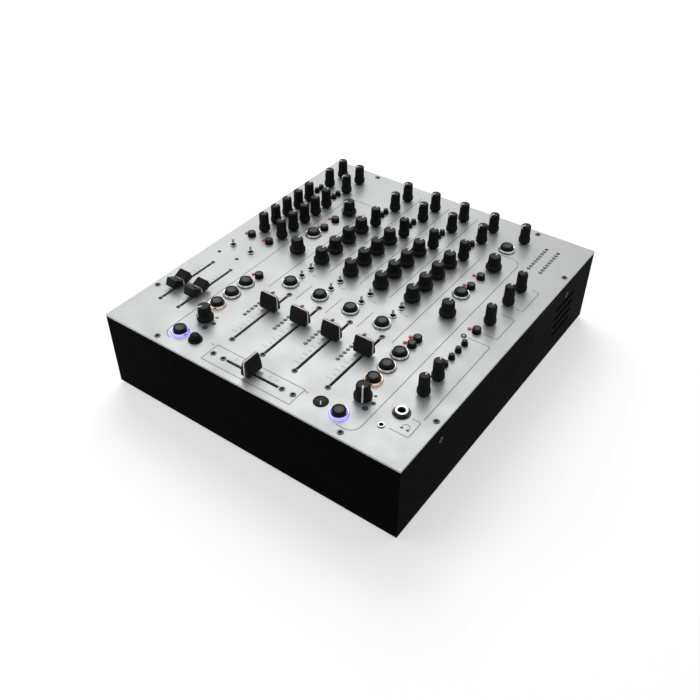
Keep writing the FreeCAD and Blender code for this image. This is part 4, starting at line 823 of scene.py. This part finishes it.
class MIXER_OT_back(bpy.types.Operator):
    """Make the phono, line and balanced sockets and the mains inlet"""
    bl_idname = "mixer.back"
    bl_label = "Back sockets"

    def execute(self, context):
        phono = turned([(0.0, -12.0), (4.1, -12.0), (4.1, FLUSH), (6.0, FLUSH), (6.0, 1.2), (5.8, 1.5)]
                       + shaded(2, (4.15, 1.5), (4.15, 8.2), (3.9, 8.5), (3.2, 8.5))
                       + shaded(3, (3.2, 7.9), (1.75, 7.9)) + [(1.65, 7.6, 2)]
                       + shaded(1, (1.65, 1.6), (0.0, 1.6)), 40)
        line = turned([(0.0, -28.0), (5.3, -28.0), (5.3, FLUSH), (7.8, FLUSH), (7.8, 1.1), (7.4, 1.4),
                       (5.4, 2.9)] + shaded(2, (5.0, 3.0), (3.3, 3.0), (3.2, 2.8))
                      + shaded(1, (3.2, -26.8), (0.0, -26.8)), 40)
        gold = plating("phono_plating", (0.72, 0.55, 0.26))
        red = finish("phono_red", (0.4, 0.015, 0.015), 0.35)
        white = finish("phono_white", (0.7, 0.7, 0.68), 0.35)
        lines = on_back(line, [(x, z) for x in LINE_COLUMNS for z in BACK_ROWS])
        plate = stacked([(0.0, 0.0, 10.0, -16.0), (11.5, 11.5, 2.0, -16.0), (11.5, 11.5, 2.0, FLUSH),
                         (13.0, 15.5, 10.0, FLUSH), (13.0, 15.5, 10.0, 1.5), (12.6, 15.1, 10.0, 2.0),
                         (9.8, 9.8, 2.0, 2.0), (9.35, 9.35, 2.0, 1.6)]
                        + shaded(1, (9.3, 9.3, 2.0, -11.5), (0.0, 0.0, 2.0, -11.5)), 64)
        pin = turned(shaded(2, (0.0, -11.6), (1.2, -11.6), (1.2, -1.6), (0.8, -0.9), (0.0, -0.8)), 20)
        reach, angles = 4.4, np.radians((-30.0, 210.0, 90.0))
        pins = pin.placed([(reach * math.cos(a), reach * math.sin(a), 0.0, 0.0) for a in angles])
        balanced = on_back(joined(plate, pins), BALANCED_SPOTS)
        shell = finish("socket_shell", (0.018, 0.018, 0.019), 0.38, relief=0.03)
        low, high = BACK_ROWS
        for name, z, sleeve in (("phono_upper", high, white), ("phono_lower", low, red)):
            piece(name, on_back(phono, [(x, z) for x in PHONO_COLUMNS]),
                  [shell, hole_black_and_shade(), gold, sleeve])
        piece("line_and_balanced_sockets", joined(lines, balanced), [shell, hole_black_and_shade(), chrome()],
              ("rear_sockets",))
        inlet = stacked([(0.0, 0.0, 12.0, -18.0), (13.9, 10.1, 12.0, -18.0), (13.9, 10.1, 12.0, FLUSH),
                         (18.0, 14.0, 10.0, FLUSH), (18.0, 14.0, 10.0, 2.0), (17.5, 13.5, 10.0, 2.5),
                         (12.5, 8.7, 9.0, 2.5), (12.0, 8.25, 12.0, 2.0)]
                        + shaded(1, (12.0, 8.25, 12.0, -15.8), (0.0, 0.0, 12.0, -15.8)), 64)
        blade = stacked(shaded(2, (0.0, 0.0, 12.0, -15.9), (1.0, 2.0, 12.0, -15.9),
                               (1.0, 2.0, 12.0, -3.5), (0.6, 1.6, 12.0, -3.0),
                               (0.0, 0.0, 12.0, -3.0)), 24)
        blades = blade.placed([(-7.0, -2.0, 0.0, 0.0), (7.0, -2.0, 0.0, 0.0), (0.0, 2.2, 0.0, 0.0)])
        mains = on_back(joined(inlet, blades), [INLET_SPOT])
        piece("mains_inlet_shell", mains, [shell, hole_black_and_shade(), chrome()],
              ("mains_inlet",))
        return {"FINISHED"}


# Prints


def ticks(spot, inner, outer):
    """Rays round a knob from stop to stop, as (x0, y0, x1, y1) rows."""
    angle = np.radians(90.0 + np.linspace(-TURN_STOP, TURN_STOP, 11))
    way = np.stack([np.cos(angle), np.sin(angle)], -1)
    return np.concatenate([spot + inner * way, spot + outer * way], -1)


def rounded(x, y, radius, start):
    """A quarter bend about (x, y) from a start angle in degrees, as (x0, y0, x1, y1) rows."""
    angle = np.radians(start + np.linspace(0.0, 90.0, 9))
    points = np.stack([x + radius * np.cos(angle), y + radius * np.sin(angle)], -1)
    return np.concatenate([points[:-1], points[1:]], -1).tolist()


def print_lines():
    """Lines between the channels and round the groups of controls, as (x0, y0, x1, y1) rows."""
    dividers, sides = (-34.4, 0.6, 35.6), (-99.1, 109.6)
    rear, front, bow = 107.5, -158.0, 10.0
    left, right = sides[0] + bow, sides[1] - bow
    rows = [(x, 162.0, x, -6.0) for x in dividers]
    rows += [(x, -34.0, x, -60.0) for x in dividers]
    rows += [(x, rear, x, front) for x in sides]
    rows += rounded(left, rear, bow, 90.0) + rounded(right, rear, bow, 0.0)
    rows += rounded(left, front, bow, 180.0) + rounded(right, front, bow, 270.0)
    rows.append((right, front - bow, 92.0, front - bow))
    rows += [(x, 99.5, x, -60.0) for x in (-67.0, 73.3)]
    rows += [(left, rear + bow, -69.0, rear + bow), (86.0, rear + bow, right, rear + bow)]
    edge, corner = 146.0, 2.0
    boxes = ((82.0, 139.0, 47.5, 139.5), (32.0, 132.0, -2.0, 131.7), (-14.5, 123.5, -125.6, None),
             (-127.6, 137.5, -147.0, 128.3))
    for high, high_start, low, low_start in boxes:
        rows.append((edge, high - corner, edge, low + corner))
        rows += rounded(edge - corner, high - corner, corner, 0.0)
        rows.append((high_start, high, edge - corner, high))
        if low_start:
            rows += rounded(edge - corner, low + corner, corner, 270.0)
            rows.append((low_start, low, edge - corner, low))
    band = (138.6, -138.6, 3.2)
    rows += rounded(*band, 0.0) + rounded(*band, 90.0)
    rows += [(x + 6.0, -20.8, x + 10.0, -20.8) for x in CHANNELS]
    near, far = span(CROSS_Y, 2.0 * CROSS_BOX_Y)
    rows += [(-CROSS_BOX_X, y, CROSS_BOX_X, y) for y in (near, far)]
    rows += [(x, near, x, far) for x in (-CROSS_BOX_X, CROSS_BOX_X)]
    return rows


def fader_ticks():
    """Short bars beside each slot, as (x0, y0, x1, y1) rows."""
    rows = [(x - 6.6, y, x - 3.0, y) for x in CHANNELS + FADER_SHIFT
            for y in np.linspace(*span(FADER_Y, FADER_TRAVEL), 11)]
    rows += [(x - 6.0, y, x - 3.0, y) for x in STRIPS + INPUT_FADER_SHIFT
             for y in np.linspace(*span(INPUT_FADER_Y, INPUT_TRAVEL), 11)]
    rows += [(x, CROSS_Y + 4.0, x, CROSS_Y + 7.0)
             for x in np.linspace(*span(0.0, CROSS_TRAVEL), 7)]
    return rows


def knob_spots(start):
    """The middles (x, y) of the knobs whose names begin with start."""
    return [centre(node)[0][:2] for node in nodes(start)]


class MIXER_OT_prints(bpy.types.Operator):
    """Print the dividing lines, scales, dots and plain numbers on the panel"""
    bl_idname = "mixer.prints"
    bl_label = "Prints"

    def execute(self, context):
        size = sizes()
        z = PANEL_TOP + size.print_lift
        ink = finish("print_grey", colours().ink, 0.6, tone=0.05, relief=0.004)
        red = finish("print_red", colours().red_ink, 0.6, tone=0.05, relief=0.004)
        fine = size.line_width * 0.7
        rays = np.concatenate([ticks(spot, 8.6, 9.5) for spot in knob_spots("eq_knob")]
                              + [ticks(spot, 6.3, 7.2) for spot in level_spots()[:, :2]])
        low, high = span(FADER_Y, FADER_TRAVEL)
        numbers = [(str(10 - 2 * step), x - 8.2, y) for x in CHANNELS + FADER_SHIFT
                   for step, y in enumerate(np.linspace(high, low, 6))]
        numbers += [(str(i + 1), x - 9.0, 137.0) for i, x in enumerate(CHANNELS)]
        dots = {1.3: [(135.9, -140.6), (141.5, -140.6)], 1.5: [(-74.5, -123.5), (99.5, -123.5)],
                2.1: [(-71.0, -131.5), (103.0, -131.5)], 2.8: [(-74.0, -140.0), (100.5, -140.0)]}
        grey = joined(strokes(print_lines(), size.line_width, z), strokes(fader_ticks(), fine, z),
                      strokes(rays, fine * 0.8, z), numerals(numbers, 2.0, z),
                      *[discs(spots, radius, z) for radius, spots in dots.items()])
        piece("panel_prints", grey, [ink], closed=False)
        red_rays = np.concatenate([ticks(spot, 8.8, 9.9) for spot in knob_spots("filter_knob")])
        dashes = [(-54.5, -153.0, -51.0, -153.0), (49.0, -152.5, 52.5, -152.5)]
        red_form = joined(strokes(red_rays, fine, z), strokes(dashes, 0.8, z))
        piece("panel_red_prints", red_form, [red], closed=False)
        return {"FINISHED"}


# Finishes of the frame's own nodes


class MIXER_OT_case_finishes(bpy.types.Operator):
    """Give the panel, the case and what is inside their finishes"""
    bl_idname = "mixer.case_finishes"
    bl_label = "Case finishes"

    def execute(self, context):
        tint = colours()
        panel = finish("satin_panel", tint.panel, 0.4, metal=0.25, grain=1500.0, tone=0.05, relief=0.02)
        plate = finish("bare_plate", tint.plate, 0.4, metal=0.25, grain=1500.0, tone=0.04, relief=0.015)
        coat = finish("powder_coat", tint.case, 0.55, grain=1100.0, tone=0.15, relief=0.05,
                      smudge=0.04, shine=0.006)
        zinc = finish("zinc_steel", (0.4, 0.4, 0.38), 0.35, metal=1.0)
        laminate = finish("green_laminate", (0.02, 0.1, 0.05), 0.4, tone=0.2)
        wound = finish("core_tape", (0.25, 0.19, 0.06), 0.45, tone=0.25)
        foot = finish("foot_rubber_black", (0.02, 0.02, 0.02), 0.75, relief=0.08, grain=700.0)
        # The fader tracks get near-black painted shade where they show through the slots
        table = {"top_panel": panel, "crossfader_plate": plate, "case_wrap": coat, "base_plate": coat,
                 "rear_panel": coat, "rubber_feet": foot, "rotary_pots": zinc,
                 "fader_tracks": hole_black_and_shade(), "switch_housings": moulded(),
                 "circuit_boards": laminate, "power_supply": wound}
        for node, item in table.items():
            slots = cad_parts[node].data.materials
            slots.clear()
            slots.append(item)
        return {"FINISHED"}


# Stage


def light(name, place, aim, width, power):
    """A square soft lamp at a place, turned to a point, both in metres."""
    lamp = bpy.data.lights.new(name, "AREA")
    lamp.size = width
    lamp.energy = power
    item = linked(name, lamp)
    item.location = place
    way = np.asarray(aim, float) - np.asarray(place, float)
    item.rotation_euler = Vector(way).to_track_quat("-Z", "Y").to_euler()


def camera():
    """The photographer's camera: azimuth from the front, elevation and roll in degrees."""
    azimuth, elevation, roll = (math.radians(a) for a in (35.438, 40.906, 0.318))
    data = bpy.data.cameras.new("photo_camera")
    data.sensor_width = 36.0
    data.lens = 42.93
    data.clip_start = 0.02
    item = linked("photo_camera", data)
    turn = Matrix.Rotation(azimuth, 4, "Z") @ Matrix.Rotation(math.pi / 2.0 - elevation, 4, "X")
    place = Matrix.Translation((0.36626, -0.5347, 0.55802))
    item.matrix_world = place @ turn @ Matrix.Rotation(roll, 4, "Z")
    bpy.context.scene.camera = item


def seen_ray(tree):
    """The larger of three ray tests: one for a ray of the camera, of gloss or of glass."""
    path = tree.nodes.new("ShaderNodeLightPath")
    output = path.outputs["Is Camera Ray"]
    for other in ("Is Glossy Ray", "Is Transmission Ray"):
        larger = tree.nodes.new("ShaderNodeMath")
        larger.operation = "MAXIMUM"
        tree.links.new(output, larger.inputs[0])
        tree.links.new(path.outputs[other], larger.inputs[1])
        output = larger.outputs[0]
    return output


def backdrop_world():
    """A plain soft sky, and white where the camera, gloss or glass sees it."""
    world = bpy.data.worlds.new("studio")
    world.use_nodes = True
    tree = world.node_tree
    new, link = tree.nodes.new, tree.links.new
    white = (1.0, 1.0, 1.0, 1.0)
    sky = filled(tree.nodes["Background"], {"Color": white, "Strength": 0.34})
    seen = filled(new("ShaderNodeBackground"), {"Color": white, "Strength": 1.0})
    mix = new("ShaderNodeMixShader")
    link(seen_ray(tree), mix.inputs[0])
    link(sky.outputs[0], mix.inputs[1])
    link(seen.outputs[0], mix.inputs[2])
    link(mix.outputs[0], tree.nodes["World Output"].inputs["Surface"])
    bpy.context.scene.world = world


def floor_finish():
    """White paper that lifts to full white for the camera and keeps the shadow."""
    made = finish("white_paper", (0.86, 0.86, 0.86), 0.8, tone=0.01, relief=0.002, grain=60.0)
    tree = made.node_tree
    new, link = tree.nodes.new, tree.links.new
    shader = tree.nodes["Principled BSDF"]
    glow = new("ShaderNodeEmission")
    lift = new("ShaderNodeMath")
    lift.operation = "MULTIPLY"
    lift.inputs[1].default_value = 0.5
    add = new("ShaderNodeAddShader")
    link(seen_ray(tree), lift.inputs[0])
    link(lift.outputs[0], glow.inputs["Strength"])
    link(shader.outputs[0], add.inputs[0])
    link(glow.outputs[0], add.inputs[1])
    link(add.outputs[0], tree.nodes["Material Output"].inputs["Surface"])
    return made


class MIXER_OT_stage(bpy.types.Operator):
    """Set the floor, the soft lamps, the sky and the camera"""
    bl_idname = "mixer.stage"
    bl_label = "Stage"

    def execute(self, context):
        half = 6.0
        mesh = bpy.data.meshes.new("floor")
        corners = [(-half, -half, 0.0), (half, -half, 0.0), (half, half, 0.0), (-half, half, 0.0)]
        mesh.from_pydata(corners, [], [(0, 1, 2, 3)])
        mesh.materials.append(floor_finish())
        floor = linked("floor", mesh)
        light("key", (-0.75, 0.85, 1.5), (0.0, 0.0, 0.05), 1.2, 13.5)
        light("fill", (-1.3, -1.0, 0.9), (0.0, 0.0, 0.05), 1.0, 3.5)
        backdrop_world()
        camera()
        context.scene.view_settings.view_transform = "Standard"
        return {"FINISHED"}


class MIXER_PT_sidebar(bpy.types.Panel):
    """The mixer's pieces, in the order in which they are made"""
    bl_idname = "MIXER_PT_sidebar"
    bl_label = "Club mixer"
    bl_space_type = "VIEW_3D"
    bl_region_type = "UI"
    bl_category = "Mixer"

    def draw(self, context):
        for operator in OPERATORS:
            self.layout.operator(operator.bl_idname)


OPERATORS = (
    MIXER_OT_stage, MIXER_OT_case_finishes, MIXER_OT_wide_knobs, MIXER_OT_slim_knobs,
    MIXER_OT_selector, MIXER_OT_large_buttons, MIXER_OT_small_buttons, MIXER_OT_rings,
    MIXER_OT_levers, MIXER_OT_faders, MIXER_OT_lamps, MIXER_OT_screws, MIXER_OT_phones,
    MIXER_OT_back, MIXER_OT_prints)
CLASSES = (MixerSizes, MixerColours) + OPERATORS + (MIXER_PT_sidebar,)


def register():
    for item in CLASSES:
        bpy.utils.register_class(item)
    bpy.types.Scene.mixer_sizes = PointerProperty(type=MixerSizes)
    bpy.types.Scene.mixer_colours = PointerProperty(type=MixerColours)


def unregister():
    del bpy.types.Scene.mixer_colours
    del bpy.types.Scene.mixer_sizes
    for item in reversed(CLASSES):
        bpy.utils.unregister_class(item)


def main():
    """Make every piece."""
    register()
    for operator in OPERATORS:
        group, name = operator.bl_idname.split(".")
        getattr(getattr(bpy.ops, group), name)()


if __name__ == "__main__":
    main()
